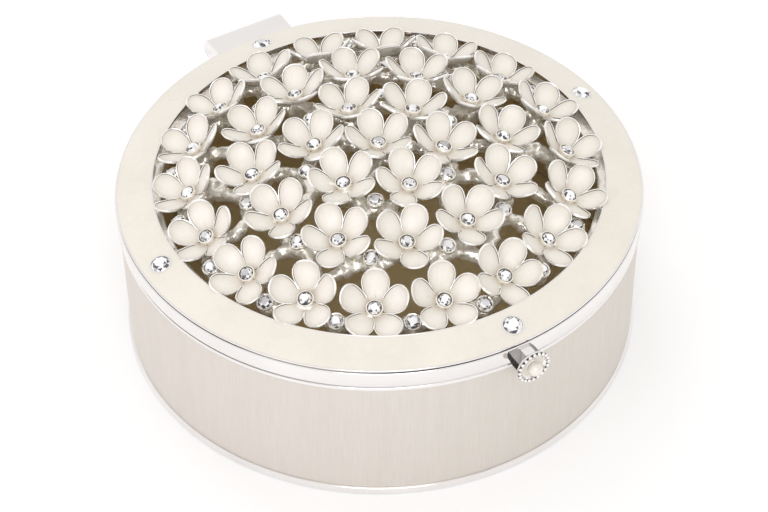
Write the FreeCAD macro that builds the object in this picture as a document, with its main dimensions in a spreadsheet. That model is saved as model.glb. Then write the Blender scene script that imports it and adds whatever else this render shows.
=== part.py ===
import FreeCAD, Part
import math
import os
import re

import Sketcher
from FreeCAD import Placement, Rotation, Vector

# A round keepsake box: a brushed drum and a hinged lid, domed with an openwork of blossoms.
# The origin is on the table under the middle of the box, +Z is up, the knob is at -Y and the
# hinge at +Y. All lengths are in millimetres.

doc = FreeCAD.newDocument("TrinketBox")
sheet = doc.addObject("Spreadsheet::Sheet", "Sizes")

sizes = [
    # Foot plate, and the felt disc let into its underside
    ("foot_overhang", "0.4"),
    ("foot_height", "1.5"),
    ("foot_rounding", "0.3"),
    ("spigot_height", "1.2"),
    ("felt_border", "4.0"),
    ("felt_thickness", "0.6"),
    # Drum wall, its rim and the lip that locates the lid
    ("wall_radius", "44.6"),
    ("wall_thickness", "1.6"),
    ("wall_height", "23.4"),
    ("rim_overhang", "0.3"),
    ("rim_height", "1.0"),
    ("rim_rounding", "0.3"),
    ("lip_thickness", "1.1"),
    ("lip_clearance", "0.4"),
    ("lip_headroom", "0.4"),
    # Linings
    ("lining_thickness", "0.6"),
    ("pad_thickness", "1.5"),
    ("pad_rounding", "0.5"),
    # Lid band
    ("seam_gap", "0.12"),
    ("lid_overhang", "0.4"),
    ("band_thickness", "1.5"),
    ("band_height", "3.05"),
    ("band_rounding", "0.25"),
    # Sloping ring on the band, with its enamel and its stones
    ("ring_setback", "0.25"),
    ("ring_edge", "0.45"),
    ("ring_width", "6.35"),
    ("ring_rise", "1.6"),
    ("ring_border", "0.3"),
    ("ring_lip_thickness", "1.7"),
    ("enamel_depth", "0.35"),
    ("ring_stone_radius", "1.6"),
    ("ring_stone_height", "1.25"),
    ("ring_stone_sink", "0.55"),
    ("collar_wall", "0.25"),
    ("collar_stand", "0.12"),
    # Domed openwork and the ring that holds it
    ("dome_radius", "82.0"),
    ("dome_drop", "2.2"),
    ("dome_gap", "0.4"),
    ("lattice_thickness", "1.0"),
    ("lattice_edge_width", "0.9"),
    ("flange_thickness", "1.0"),
    ("flange_step", "0.2"),
    ("retainer_thickness", "0.8"),
    ("retainer_overlap", "2.4"),
    ("branch_width", "1.5"),
    ("pad_margin", "0.15"),
    # Blossoms and the stones in them
    ("blossom_gap", "0.7"),
    ("petal_thickness", "0.4"),
    ("calyx_foot_radius", "1.3"),
    ("calyx_flare", "0.35"),
    ("calyx_height", "0.9"),
    ("petal_lift", "2.1"),
    ("blossom_stone_radius", "1.2"),
    ("blossom_stone_height", "0.95"),
    ("blossom_cup_height", "0.4"),
    ("cup_wall", "0.25"),
    # Small cups between the blossoms and the stones in them
    ("accent_stone_radius", "1.2"),
    ("accent_stone_height", "0.95"),
    ("accent_floor_height", "0.8"),
    ("accent_cup_height", "0.45"),
    # Hinge
    ("hinge_width", "15.2"),
    ("hinge_standoff", "3.0"),
    ("knuckle_radius", "2.0"),
    ("base_knuckle_radius", "1.3"),
    ("base_knuckle_width", "6.0"),
    ("swing_gap", "0.25"),
    ("swing_room", "0.9"),
    ("pin_radius", "0.6"),
    ("pin_clearance", "0.04"),
    ("pin_recess", "0.2"),
    ("leaf_thickness", "1.3"),
    ("leaf_height", "4.0"),
    ("leaf_drop", "0.4"),
    # Knob
    ("knob_rise", "0.4"),
    ("collar_width", "4.4"),
    ("collar_length", "1.9"),
    ("bezel_radius", "2.9"),
    ("bezel_neck", "2.0"),
    ("bezel_flare", "0.5"),
    ("bezel_height", "1.0"),
    ("bezel_floor", "0.45"),
    ("bezel_lip", "0.45"),
    ("bead_radius", "0.34"),
    ("pearl_radius", "1.25"),
    # Fits and cutting allowances
    ("slip", "0.1"),
    ("stone_clearance", "0.05"),
    ("seat_gap", "0.05"),
    ("overrun", "0.5"),
]

for row, (name, number) in enumerate(sizes, 1):
    sheet.set(f"A{row}", name)
    sheet.set(f"B{row}", number)
    sheet.setAlias(f"B{row}", name)
doc.recompute()
size_names = {name for name, number in sizes}

# Angles, counts and shares that give the ornament its layout
blossom_rings = 3
blossoms_per_ring = 6
ring_start_degrees = [0.0, 27.0, 11.5, 18.0]
petal_count = 5
petal_tilt_degrees = 38.0
pearl_cut_degrees = -45.0
ring_stone_count = 4
bead_count = 18
collar_sides = 8
stone_sides = 8
pitch_share = 0.278
accent_pitch_share = 0.24
petal_share = 0.415
petal_depth_share = 0.28
calyx_share = 0.43
stone_girdle_share = 0.3
stone_table_share = 0.6


def linked(text):
    """Expression text in which each size is read from the sheet."""
    return re.sub(r"[a-z_]+", lambda word: swap_in(word.group()), text)


def swap_in(word):
    return f"Sizes.{word}" if word in size_names else word


def size(text):
    """Number of millimetres that an expression of sizes gives."""
    return float(sheet.evalExpression(linked(text)))


# Radii and levels that several pieces share
foot_radius = "(wall_radius + foot_overhang)"
wall_inside = "(wall_radius - wall_thickness)"
lining_outside = f"({wall_inside} - slip)"
lining_inside = f"({lining_outside} - lining_thickness)"
rim_radius = "(wall_radius + rim_overhang)"
lid_radius = "(wall_radius + lid_overhang)"
band_inside = f"({lid_radius} - band_thickness)"
lip_outside = f"({band_inside} - lip_clearance)"
lip_inside = f"({lip_outside} - lip_thickness)"
ring_radius = f"({lid_radius} - ring_setback)"
opening_radius = f"({ring_radius} - ring_width)"
ring_lip_outside = f"({band_inside} - slip)"
ring_lip_inside = f"({ring_lip_outside} - ring_lip_thickness)"
flange_radius = f"({ring_lip_inside} - slip)"
enamel_outside = f"({ring_radius} - ring_border)"
enamel_inside = f"({opening_radius} + ring_border)"
lattice_outside = f"({opening_radius} - dome_gap)"
lattice_inside = f"({lattice_outside} - lattice_edge_width)"
hinge_reach = f"({lid_radius} + hinge_standoff)"

spigot_top = "(foot_height + spigot_height)"
wall_top = "(foot_height + wall_height)"
rim_top = f"({wall_top} + rim_height)"
band_base = f"({rim_top} + seam_gap)"
band_top = f"({band_base} + band_height)"
ring_edge_top = f"({band_top} + ring_edge)"
ring_inner_top = f"({ring_edge_top} + ring_rise)"
flange_top = f"({band_top} + flange_step)"
flange_base = f"({flange_top} - flange_thickness)"
dome_edge = f"({flange_top} - dome_drop)"
retainer_base = f"({flange_base} - retainer_thickness)"
lip_top = f"({retainer_base} - lip_headroom)"
border_rise = "(ring_rise * ring_border / ring_width)"
pin_level = f"({ring_edge_top} - knuckle_radius)"
knob_level = f"({band_base} + knob_rise)"

pieces = []


def name_piece(piece, label):
    """Give a finished sub-part the label that names its file."""
    piece.Label = label
    pieces.append(piece)
    return piece


def bind(feature, texts):
    for path, text in texts.items():
        feature.setExpression(path, linked(text))
    return feature


def pin_down(sketch, corner, kind, text, axis):
    """Fix one coordinate of a sketch corner, on the axis if it is zero."""
    if text == "0":
        sketch.addConstraint(Sketcher.Constraint("PointOnObject", corner, 1, axis))
        return
    constraint = Sketcher.Constraint(kind, -1, 1, corner, 1, size(text))
    place = sketch.addConstraint(constraint)
    sketch.setExpression(f"Constraints[{place}]", linked(text))


def outline_sketch(body, corners):
    """Closed sketch on the body's XZ plane through (radius, height) corners."""
    sketch = body.newObject("Sketcher::SketchObject", f"{body.Name}_outline")
    planes = body.Origin.OriginFeatures
    sketch.AttachmentSupport = [(next(p for p in planes if p.Role == "XZ_Plane"), "")]
    sketch.MapMode = "FlatFace"
    points = [Vector(size(radius), size(height), 0) for radius, height in corners]
    ends = points[1:] + points[:1]
    for start, end in zip(points, ends):
        sketch.addGeometry(Part.LineSegment(start, end), False)
    for line in range(len(points)):
        following = (line + 1) % len(points)
        sketch.addConstraint(Sketcher.Constraint("Coincident", line, 2, following, 1))
    for corner, (radius, height) in enumerate(corners):
        pin_down(sketch, corner, "DistanceX", radius, -2)
        pin_down(sketch, corner, "DistanceY", height, -1)
    return sketch


def turned_body(name, corners):
    """Body turned about the box's axis from an outline."""
    body = doc.addObject("PartDesign::Body", name)
    sketch = outline_sketch(body, corners)
    turning = body.newObject("PartDesign::Revolution", f"{name}_turning")
    turning.Profile = sketch
    turning.ReferenceAxis = (sketch, ["V_Axis"])
    return body


def round_over(body, rounding, circles):
    """Fillet the body's circular edges that lie at the given radii and heights."""
    doc.recompute()
    base = body.Tip
    wanted = [(size(radius), size(height)) for radius, height in circles]
    names = []
    for number, edge in enumerate(base.Shape.Edges, 1):
        if not isinstance(edge.Curve, Part.Circle):
            continue
        here = (edge.Curve.Radius, edge.Curve.Center.z)
        if any(math.dist(here, there) < Part.Precision.confusion() * 10 for there in wanted):
            names.append(f"Edge{number}")
    fillet = body.newObject("PartDesign::Fillet", f"{body.Name}_rounding")
    fillet.Base = (base, names)
    bind(fillet, {"Radius": rounding})
    body.Tip = fillet
    return body


def box(name, low, high):
    """Box between two corners, each given as three expressions."""
    feature = doc.addObject("Part::Box", name)
    for side, start, end in zip(("Length", "Width", "Height"), low, high):
        bind(feature, {side: f"{end} - {start}"})
    for letter, start in zip("xyz", low):
        bind(feature, {f"Placement.Base.{letter}": start})
    return feature


def upright(name, radius, base, top):
    """Cylinder about the box's axis between two levels."""
    feature = doc.addObject("Part::Cylinder", name)
    return bind(feature, {"Radius": radius, "Height": f"{top} - {base}", "Placement.Base.z": base})


def crossbar(name, radius, length):
    """Cylinder along X, centred on the hinge axis."""
    feature = doc.addObject("Part::Cylinder", name)
    feature.Placement = Placement(Vector(), Rotation(Vector(0, 1, 0), 90))
    middle = {
        "Placement.Base.x": f"-({length}) / 2",
        "Placement.Base.y": hinge_reach,
        "Placement.Base.z": pin_level,
    }
    return bind(feature, {"Radius": radius, "Height": length, **middle})


def fuse(name, shapes):
    feature = doc.addObject("Part::MultiFuse", name)
    feature.Shapes = shapes
    return feature


def cut(name, base, tool):
    feature = doc.addObject("Part::Cut", name)
    feature.Base = base
    feature.Tool = tool
    return feature


def make_base():
    """Foot plate, felt, wall, rim and linings of the drum."""
    felt_hole = f"({foot_radius} - felt_border)"
    plate = turned_body("base_plate", [
        ("0", "felt_thickness"),
        (felt_hole, "felt_thickness"),
        (felt_hole, "0"),
        (foot_radius, "0"),
        (foot_radius, "foot_height"),
        (lining_outside, "foot_height"),
        (lining_outside, spigot_top),
        ("0", spigot_top),
    ])
    name_piece(round_over(plate, "foot_rounding", [(foot_radius, "foot_height")]), "base_plate")

    felt = doc.addObject("Part::Cylinder", "underside_felt")
    bind(felt, {"Radius": f"{felt_hole} - slip", "Height": "felt_thickness"})
    name_piece(felt, "underside_pad")

    wall = turned_body("drum_wall", [
        (wall_inside, "foot_height"),
        ("wall_radius", "foot_height"),
        ("wall_radius", wall_top),
        (wall_inside, wall_top),
    ])
    name_piece(wall, "drum_wall")

    rim = turned_body("base_rim", [
        (lip_inside, wall_top),
        (rim_radius, wall_top),
        (rim_radius, rim_top),
        (lip_outside, rim_top),
        (lip_outside, lip_top),
        (lip_inside, lip_top),
    ])
    name_piece(round_over(rim, "rim_rounding", [
        (rim_radius, wall_top),
        (rim_radius, rim_top),
        (lip_outside, lip_top),
    ]), "base_rim")

    lining = turned_body("wall_lining", [
        (lining_inside, spigot_top),
        (lining_outside, spigot_top),
        (lining_outside, wall_top),
        (lining_inside, wall_top),
    ])
    name_piece(lining, "wall_lining")

    pad_radius = f"({lining_inside} - slip)"
    pad_top = f"({spigot_top} + pad_thickness)"
    pad = turned_body("floor_pad", [
        ("0", spigot_top),
        (pad_radius, spigot_top),
        (pad_radius, pad_top),
        ("0", pad_top),
    ])
    name_piece(round_over(pad, "pad_rounding", [(pad_radius, pad_top)]), "floor_pad")


def make_lid_band():
    band = turned_body("lid_band", [
        (band_inside, band_base),
        (lid_radius, band_base),
        (lid_radius, band_top),
        (band_inside, band_top),
    ])
    outer_edges = [(lid_radius, band_base), (lid_radius, band_top)]
    name_piece(round_over(band, "band_rounding", outer_edges), "lid_band")


def ring_seats():
    """Placements of the ring's stones, on its slope and square to it."""
    slope = math.degrees(math.atan2(size("ring_rise"), size("ring_width")))
    radius = size(f"{opening_radius} + ring_width / 2")
    height = size(f"{ring_edge_top} + ring_rise / 2")
    seats = []
    for number in range(ring_stone_count):
        around = Rotation(Vector(0, 0, 1), 360 * number / ring_stone_count)
        spot = around.multVec(Vector(radius, 0, height))
        seats.append(Placement(spot, around * Rotation(Vector(0, 1, 0), slope)))
    return seats


def seat_cylinders(name, radius, base, top):
    """One cylinder on each stone seat of the ring, between two levels along the seat."""
    cylinders = []
    for number, seat in enumerate(ring_seats(), 1):
        feature = doc.addObject("Part::Cylinder", f"{name}_{number}")
        bind(feature, {"Radius": radius, "Height": f"{top} - {base}"})
        feature.Placement = seat * Placement(Vector(0, 0, size(base)), Rotation())
        cylinders.append(feature)
    return fuse(name, cylinders)


def make_lid_ring():
    """Sloping ring with a recess for the enamel and a collar round each stone."""
    outer_top = f"({ring_edge_top} + {border_rise})"
    inner_top = f"({ring_inner_top} - {border_rise})"
    ring = turned_body("ring_turned", [
        (ring_radius, band_top),
        (ring_radius, ring_edge_top),
        (enamel_outside, outer_top),
        (enamel_outside, f"{outer_top} - enamel_depth"),
        (enamel_inside, f"{inner_top} - enamel_depth"),
        (enamel_inside, inner_top),
        (opening_radius, ring_inner_top),
        (opening_radius, flange_top),
        (ring_lip_inside, flange_top),
        (ring_lip_inside, flange_base),
        (ring_lip_outside, flange_base),
        (ring_lip_outside, band_top),
    ])
    bore = "(ring_stone_radius + stone_clearance)"
    collar = f"({bore} + collar_wall)"
    collars = seat_cylinders("ring_collars", collar, "-ring_stone_sink", "collar_stand")
    bores = seat_cylinders("ring_bores", bore, "-ring_stone_sink", "(collar_stand + overrun)")
    name_piece(cut("ring_bored", fuse("ring_collared", [ring, collars]), bores), "lid_ring")

    enamel_border = f"({border_rise} + ring_rise * slip / ring_width)"
    enamel_low = f"({ring_edge_top} + {enamel_border})"
    enamel_high = f"({ring_inner_top} - {enamel_border})"
    enamel = turned_body("enamel_turned", [
        (f"{enamel_outside} - slip", f"{enamel_low} - enamel_depth + seat_gap"),
        (f"{enamel_outside} - slip", enamel_low),
        (f"{enamel_inside} + slip", enamel_high),
        (f"{enamel_inside} + slip", f"{enamel_high} - enamel_depth + seat_gap"),
    ])
    holes = seat_cylinders("enamel_holes", f"({collar} + seat_gap)", "-ring_stone_sink", "overrun")
    name_piece(cut("enamel_pierced", enamel, holes), "ring_enamel")


def stone(radius, height):
    """Flat-backed faceted stone that stands on its origin."""
    levels = [
        (radius, 0),
        (radius, height * stone_girdle_share),
        (radius * stone_table_share, height),
    ]
    wires = []
    for reach, level in levels:
        turns = [2 * math.pi * side / stone_sides for side in range(stone_sides + 1)]
        rim = [Vector(reach * math.cos(turn), reach * math.sin(turn), level) for turn in turns]
        wires.append(Part.makePolygon(rim))
    return Part.makeLoft(wires, True, True)


def copies(shape, places):
    """Compound with one copy of a shape at each place."""
    made = []
    for place in places:
        copy = shape.copy()
        copy.Placement = place
        made.append(copy)
    return Part.makeCompound(made)


def shaped(label, shape):
    """Sub-part whose form is worked out from the sheet's sizes."""
    feature = doc.addObject("Part::Feature", label)
    feature.Shape = shape
    return name_piece(feature, label)


def make_ring_crystals():
    gem = stone(size("ring_stone_radius"), size("ring_stone_height"))
    sunk = Placement(Vector(0, 0, size("-ring_stone_sink")), Rotation())
    shaped("ring_crystals", copies(gem, [seat * sunk for seat in ring_seats()]))


def dome_centre():
    """Centre of the sphere that the top of the openwork follows."""
    drop = math.sqrt(size("dome_radius") ** 2 - size(opening_radius) ** 2)
    return Vector(0, 0, size(dome_edge) - drop)


def on_dome(radius, degrees):
    """Placement on the openwork, square to it, with its X axis pointing outwards."""
    lean = math.degrees(math.asin(radius / size("dome_radius")))
    turn = Rotation(Vector(0, 0, 1), degrees) * Rotation(Vector(0, 1, 0), lean)
    return Placement(dome_centre() + turn.multVec(Vector(0, 0, size("dome_radius"))), turn)


def pitch():
    return size(opening_radius) * pitch_share


def blossom_spots():
    """Radius and angle of each blossom: one in the middle and the rings round it."""
    spots = [(0, 0)]
    for ring in range(1, blossom_rings + 1):
        count = blossoms_per_ring * ring
        for number in range(count):
            spots.append((ring * pitch(), ring_start_degrees[ring] + 360 * number / count))
    return spots


def accent_spots():
    """Radius and angle of each small cup, between the blossoms of each ring."""
    spots = []
    for ring in range(1, blossom_rings + 1):
        count = blossoms_per_ring * ring
        for number in range(count):
            degrees = ring_start_degrees[ring] + 180 * (2 * number + 1) / count
            spots.append(((ring + accent_pitch_share) * pitch(), degrees))
    return spots


def plan_point(spot):
    radius, degrees = spot
    turn = math.radians(degrees)
    return Vector(radius * math.cos(turn), radius * math.sin(turn), 0)


def disc(centre, radius):
    return Part.Face(Part.Wire(Part.makeCircle(radius, centre)))


def branch(start, end):
    """Plan of one straight branch between two points."""
    along = (end - start).normalize()
    aside = Vector(-along.y, along.x, 0) * (size("branch_width") / 2)
    corners = [start + aside, end + aside, end - aside, start - aside]
    return Part.Face(Part.makePolygon(corners + corners[:1]))


def nearest(point, others, count):
    return sorted(others, key=lambda other: other.distanceToPoint(point))[:count]


def branch_plans():
    """Branches from each cup to the nearest blossoms of its own ring and of the next one out."""
    blossoms = [plan_point(spot) for spot in blossom_spots()]
    accents = [plan_point(spot) for spot in accent_spots()]
    plans = [branch(blossoms[0], point) for point in blossoms[1:1 + blossoms_per_ring]]
    first = 1
    for ring in range(1, blossom_rings + 1):
        count = blossoms_per_ring * ring
        own = blossoms[first:first + count]
        further = blossoms[first + count:first + 2 * count + blossoms_per_ring]
        for point in accents[first - 1:first - 1 + count]:
            ends = nearest(point, own, 2) + nearest(point, further, 2)
            plans += [branch(point, end) for end in ends]
        first += count
    edge = size(f"{lattice_outside} - lattice_edge_width / 2")
    for point in accents[-count:]:
        plans.append(branch(point, point * (edge / point.Length)))
    return plans


def joined(plans):
    """One face, with its holes, from plan faces that overlap."""
    shell = plans[0].multiFuse(plans[1:])
    wires = [Part.Wire(run) for run in Part.sortEdges(shell.getFreeEdges().Edges)]
    return Part.makeFace(wires, "Part::FaceMakerBullseye")


def make_lattice():
    """Domed openwork: pads under the ornament, branches between them and a flanged hoop."""
    cup_radius = "accent_stone_radius + stone_clearance + cup_wall"
    plans = [disc(plan_point(spot), size("calyx_foot_radius + pad_margin")) for spot in blossom_spots()]
    plans += [disc(plan_point(spot), size(f"{cup_radius} + pad_margin")) for spot in accent_spots()]
    plans += branch_plans()
    edge_outer = disc(Vector(), size(lattice_outside))
    plans.append(edge_outer.cut(disc(Vector(), size(lattice_inside))).Faces[0])
    prism = joined(plans).extrude(Vector(0, 0, size(f"{ring_inner_top} + {opening_radius}")))
    outer = Part.makeSphere(size("dome_radius"), dome_centre())
    inner = Part.makeSphere(size("dome_radius - lattice_thickness"), dome_centre())
    flange = Part.makeCylinder(size(flange_radius), size("flange_thickness"), Vector(0, 0, size(flange_base)))
    hoop_base = Vector(0, 0, size(f"{dome_edge} - lattice_thickness"))
    hoop_height = size(f"{flange_top} - {dome_edge} + lattice_thickness")
    hoop = Part.makeCylinder(size(lattice_outside), hoop_height, hoop_base)
    hole = Part.makeCylinder(size(lattice_inside), hoop_height, hoop_base)
    shaped("lattice", prism.common(outer).cut(inner).fuse(flange.fuse(hoop).cut(hole)))

    retainer = turned_body("lattice_retainer", [
        (f"{flange_radius} - retainer_overlap", retainer_base),
        (ring_lip_outside, retainer_base),
        (ring_lip_outside, flange_base),
        (f"{flange_radius} - retainer_overlap", flange_base),
    ])
    name_piece(retainer, "lattice_retainer")


def petal(radius):
    """Shallow round dish about Z, with its rim in the plane of its origin."""
    depth = radius * petal_depth_share
    thickness = size("petal_thickness")
    bend = (radius ** 2 + depth ** 2) / (2 * depth)
    half_way = math.asin(radius / bend) / 2
    outer = bend + thickness

    def on_bend(reach, angle):
        return Vector(reach * math.sin(angle), 0, bend - depth - reach * math.cos(angle))

    edges = []
    for reach in (bend, outer):
        arc = Part.Arc(on_bend(reach, 0), on_bend(reach, half_way), on_bend(reach, 2 * half_way))
        edges.append(arc.toShape())
    edges.append(Part.makeLine(on_bend(bend, 0), on_bend(outer, 0)))
    edges.append(Part.makeLine(on_bend(bend, 2 * half_way), on_bend(outer, 2 * half_way)))
    outline = Part.Face(Part.Wire(Part.__sortEdges__(edges)))
    return outline.revolve(Vector(), Vector(0, 0, 1), 360)


def seat_sphere():
    """Sphere just above the openwork, in the frame of a piece that sits on it."""
    return Part.makeSphere(size("dome_radius + seat_gap"), Vector(0, 0, size("-dome_radius")))


def cup(radius, floor, height):
    """Round cup wall that a stone drops into, standing on a floor level."""
    wall = Part.makeCylinder(radius + size("cup_wall"), height, Vector(0, 0, floor))
    return wall.cut(Part.makeCylinder(radius, height, Vector(0, 0, floor)))


def make_blossoms():
    """Blossoms of five cupped petals on a flared calyx, and the stones in them."""
    reach = (pitch() - size("blossom_gap")) / 2
    radius = reach * petal_share
    tilt = math.radians(petal_tilt_degrees)
    centre = Vector(reach - radius * math.cos(tilt), 0, size("petal_lift"))
    floor = size("calyx_height")
    foot = size("calyx_foot_radius")
    flare = size("calyx_flare")
    calyx = Part.makeCone(foot, reach * calyx_share, flare)
    crown = Part.makeCylinder(reach * calyx_share, floor - flare, Vector(0, 0, flare))
    seat = size("blossom_stone_radius + stone_clearance")
    parts = [crown, cup(seat, floor, size("blossom_cup_height"))]
    for number in range(petal_count):
        around = Rotation(Vector(0, 0, 1), 360 * number / petal_count)
        leaf = petal(radius)
        lean = Rotation(Vector(0, 1, 0), -petal_tilt_degrees)
        leaf.Placement = Placement(around.multVec(centre), around * lean)
        parts.append(leaf)
    well = Part.makeCylinder(seat, size("petal_lift"), Vector(0, 0, floor))
    blossom = calyx.multiFuse(parts).cut(well).cut(seat_sphere())
    places = [on_dome(*spot) for spot in blossom_spots()]
    shaped("blossoms", copies(blossom, places))

    gem = stone(size("blossom_stone_radius"), size("blossom_stone_height"))
    raised = Placement(Vector(0, 0, floor), Rotation())
    shaped("blossom_crystals", copies(gem, [place * raised for place in places]))


def make_accents():
    """Small stones in cups between the blossoms."""
    seat = size("accent_stone_radius + stone_clearance")
    floor = size("accent_floor_height")
    stem = Part.makeCylinder(seat + size("cup_wall"), floor)
    holder = stem.fuse(cup(seat, floor, size("accent_cup_height"))).cut(seat_sphere())
    places = [on_dome(*spot) for spot in accent_spots()]
    shaped("accent_cups", copies(holder.removeSplitter(), places))

    gem = stone(size("accent_stone_radius"), size("accent_stone_height"))
    raised = Placement(Vector(0, 0, floor), Rotation())
    shaped("accent_crystals", copies(gem, [place * raised for place in places]))


def make_hinge():
    """Flat-topped lid leaf, base leaf with the middle knuckle, and the pin."""
    half = "(hinge_width / 2)"
    pin_hole = "(pin_radius + pin_clearance)"
    lid_chord = f"(sqrt({lid_radius} ^ 2 - {half} ^ 2) - overrun)"
    lid_block = box(
        "lid_leaf_block",
        (f"-{half}", lid_chord, band_base),
        (half, hinge_reach, ring_edge_top),
    )
    lid_barrel = crossbar("lid_leaf_barrel", "knuckle_radius", "hinge_width")
    slot_half = "(base_knuckle_width / 2 + swing_gap)"
    slot_radius = "(base_knuckle_radius + swing_gap)"
    slot_end = f"({hinge_reach} + knuckle_radius + overrun)"
    slot_low = f"({pin_level} - knuckle_radius - overrun)"
    lid_cuts = [
        upright("lid_leaf_band", lid_radius, f"({band_base} - overrun)", f"({ring_edge_top} + overrun)"),
        crossbar("lid_leaf_slot", slot_radius, f"2 * {slot_half}"),
        box(
            "lid_leaf_slot_below",
            (f"-{slot_half}", f"({hinge_reach} - {slot_radius})", slot_low),
            (slot_half, slot_end, pin_level),
        ),
        box(
            "lid_leaf_slot_behind",
            (f"-{slot_half}", hinge_reach, pin_level),
            (slot_half, slot_end, f"({pin_level} + swing_room)"),
        ),
        crossbar("lid_leaf_bore", pin_hole, "(hinge_width + 2 * overrun)"),
    ]
    lid_solid = fuse("lid_leaf_solid", [lid_block, lid_barrel])
    name_piece(cut("lid_leaf", lid_solid, fuse("lid_leaf_cuts", lid_cuts)), "hinge_lid_leaf")

    leaf_top = f"({rim_top} - leaf_drop)"
    leaf_base = f"({leaf_top} - leaf_height)"
    base_chord = f"(sqrt(wall_radius ^ 2 - {half} ^ 2) - overrun)"
    base_plate = box(
        "base_leaf_plate",
        (f"-{half}", base_chord, leaf_base),
        (half, f"({rim_radius} + leaf_thickness)", leaf_top),
    )
    knuckle_half = "(base_knuckle_width / 2)"
    base_arm = box(
        "base_leaf_arm",
        (f"-{knuckle_half}", rim_radius, f"({leaf_top} - leaf_height / 2)"),
        (knuckle_half, hinge_reach, leaf_top),
    )
    base_neck = box(
        "base_leaf_neck",
        (f"-{knuckle_half}", f"({hinge_reach} - base_knuckle_radius)", f"({leaf_top} - leaf_drop)"),
        (knuckle_half, hinge_reach, pin_level),
    )
    base_barrel = crossbar("base_leaf_barrel", "base_knuckle_radius", "base_knuckle_width")
    wall_side = "(wall_radius + seat_gap)"
    base_cuts = [
        upright("base_leaf_wall", wall_side, f"({leaf_base} - overrun)", f"({wall_top} + overrun)"),
        upright("base_leaf_rim", f"({rim_radius} + seat_gap)", wall_top, f"({rim_top} + overrun)"),
        crossbar("base_leaf_bore", pin_hole, "(hinge_width + 2 * overrun)"),
    ]
    base_solid = fuse("base_leaf_solid", [base_plate, base_arm, base_neck, base_barrel])
    name_piece(cut("base_leaf", base_solid, fuse("base_leaf_cuts", base_cuts)), "hinge_base_leaf")

    name_piece(crossbar("pin", "pin_radius", "(hinge_width - 2 * pin_recess)"), "hinge_pin")


def make_knob():
    """Faceted collar on the lid band, with a beaded dish and a pearl at its end."""
    outwards = Rotation(Vector(1, 0, 0), 90)
    facing = outwards * Rotation(Vector(0, 0, 1), 180 / collar_sides)
    prism = doc.addObject("Part::Prism", "collar_prism")
    prism.Polygon = collar_sides
    prism.Placement = Placement(Vector(), facing)
    bind(prism, {
        "Circumradius": f"collar_width / 2 / cos(180 / {collar_sides})",
        "Height": "collar_length + overrun",
        "Placement.Base.y": f"-({lid_radius} - overrun)",
        "Placement.Base.z": knob_level,
    })
    low = f"({knob_level} - collar_width)"
    high = f"({knob_level} + collar_width)"
    seat = upright("collar_seat", f"({lid_radius} + seat_gap)", low, high)
    name_piece(cut("collar", prism, seat), "knob_collar")

    bezel = turned_body("bezel", [
        ("0", "0"),
        ("bezel_neck", "0"),
        ("bezel_radius", "bezel_flare"),
        ("bezel_radius", "bezel_height"),
        ("bezel_radius - bezel_lip", "bezel_height"),
        ("bezel_radius - 2 * bezel_lip", "bezel_floor"),
        ("0", "bezel_floor"),
    ])
    doc.recompute()
    bead = body_bead(bezel)
    beads = bezel.newObject("PartDesign::PolarPattern", "bezel_beads")
    beads.Originals = [bead]
    beads.Axis = (bezel.Group[0], ["V_Axis"])
    beads.Occurrences = bead_count
    bezel.Tip = beads
    bezel.Placement = Placement(Vector(), outwards)
    at_end = {"Placement.Base.y": f"-({lid_radius} + collar_length)", "Placement.Base.z": knob_level}
    name_piece(bind(bezel, at_end), "knob_bezel")

    pearl = doc.addObject("Part::Sphere", "pearl")
    pearl.Angle1 = pearl_cut_degrees
    pearl.Placement = Placement(Vector(), outwards)
    sunk = f"pearl_radius * sin({pearl_cut_degrees})"
    name_piece(bind(pearl, {
        "Radius": "pearl_radius",
        "Placement.Base.y": f"-({lid_radius} + collar_length + bezel_floor - {sunk})",
        "Placement.Base.z": knob_level,
    }), "knob_pearl")


def body_bead(body):
    """First bead of the dish's rim, half sunk in its lip."""
    bead = body.newObject("PartDesign::AdditiveSphere", "bezel_bead")
    return bind(bead, {
        "Radius": "bead_radius",
        "Placement.Base.x": "bezel_radius - bezel_lip / 2",
        "Placement.Base.z": "bezel_height",
    })


def write_pieces():
    """Check the whole document, then write each sub-part to its own file."""
    doc.recompute()
    failed = [thing.Name for thing in doc.Objects if {"Invalid", "Error"} & set(thing.State)]
    if failed:
        raise RuntimeError(f"these objects failed: {failed}")
    for piece in pieces:
        if piece.Shape.isNull() or not piece.Shape.isValid() or not piece.Shape.Solids:
            raise RuntimeError(f"{piece.Label} has no valid solid")
    os.makedirs("parts", exist_ok=True)
    for piece in pieces:
        solids = len(piece.Shape.Solids)
        print(f"{piece.Label}: {solids} solids, {piece.Shape.Volume:.2f} mm3")
        piece.Shape.exportStep(f"parts/{piece.Label}.step")


make_base()
make_lid_band()
make_lid_ring()
make_ring_crystals()
make_lattice()
make_blossoms()
make_accents()
make_hinge()
make_knob()
write_pieces()
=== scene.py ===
# %% [markdown]
# # A round trinket box with a lid of enamel blossoms
#
# The box is a brushed drum with a hinged lid. The lid is a cream enamel ring round a domed openwork of
# silver twigs, which carries cupped enamel blossoms and small faceted stones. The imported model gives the
# frame: every piece here is made in metres, in the place where that model has it, and rides on its body.

# %% Load the frame
import math
import random

import bmesh
import bpy
from mathutils import Matrix, Vector, noise


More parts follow.
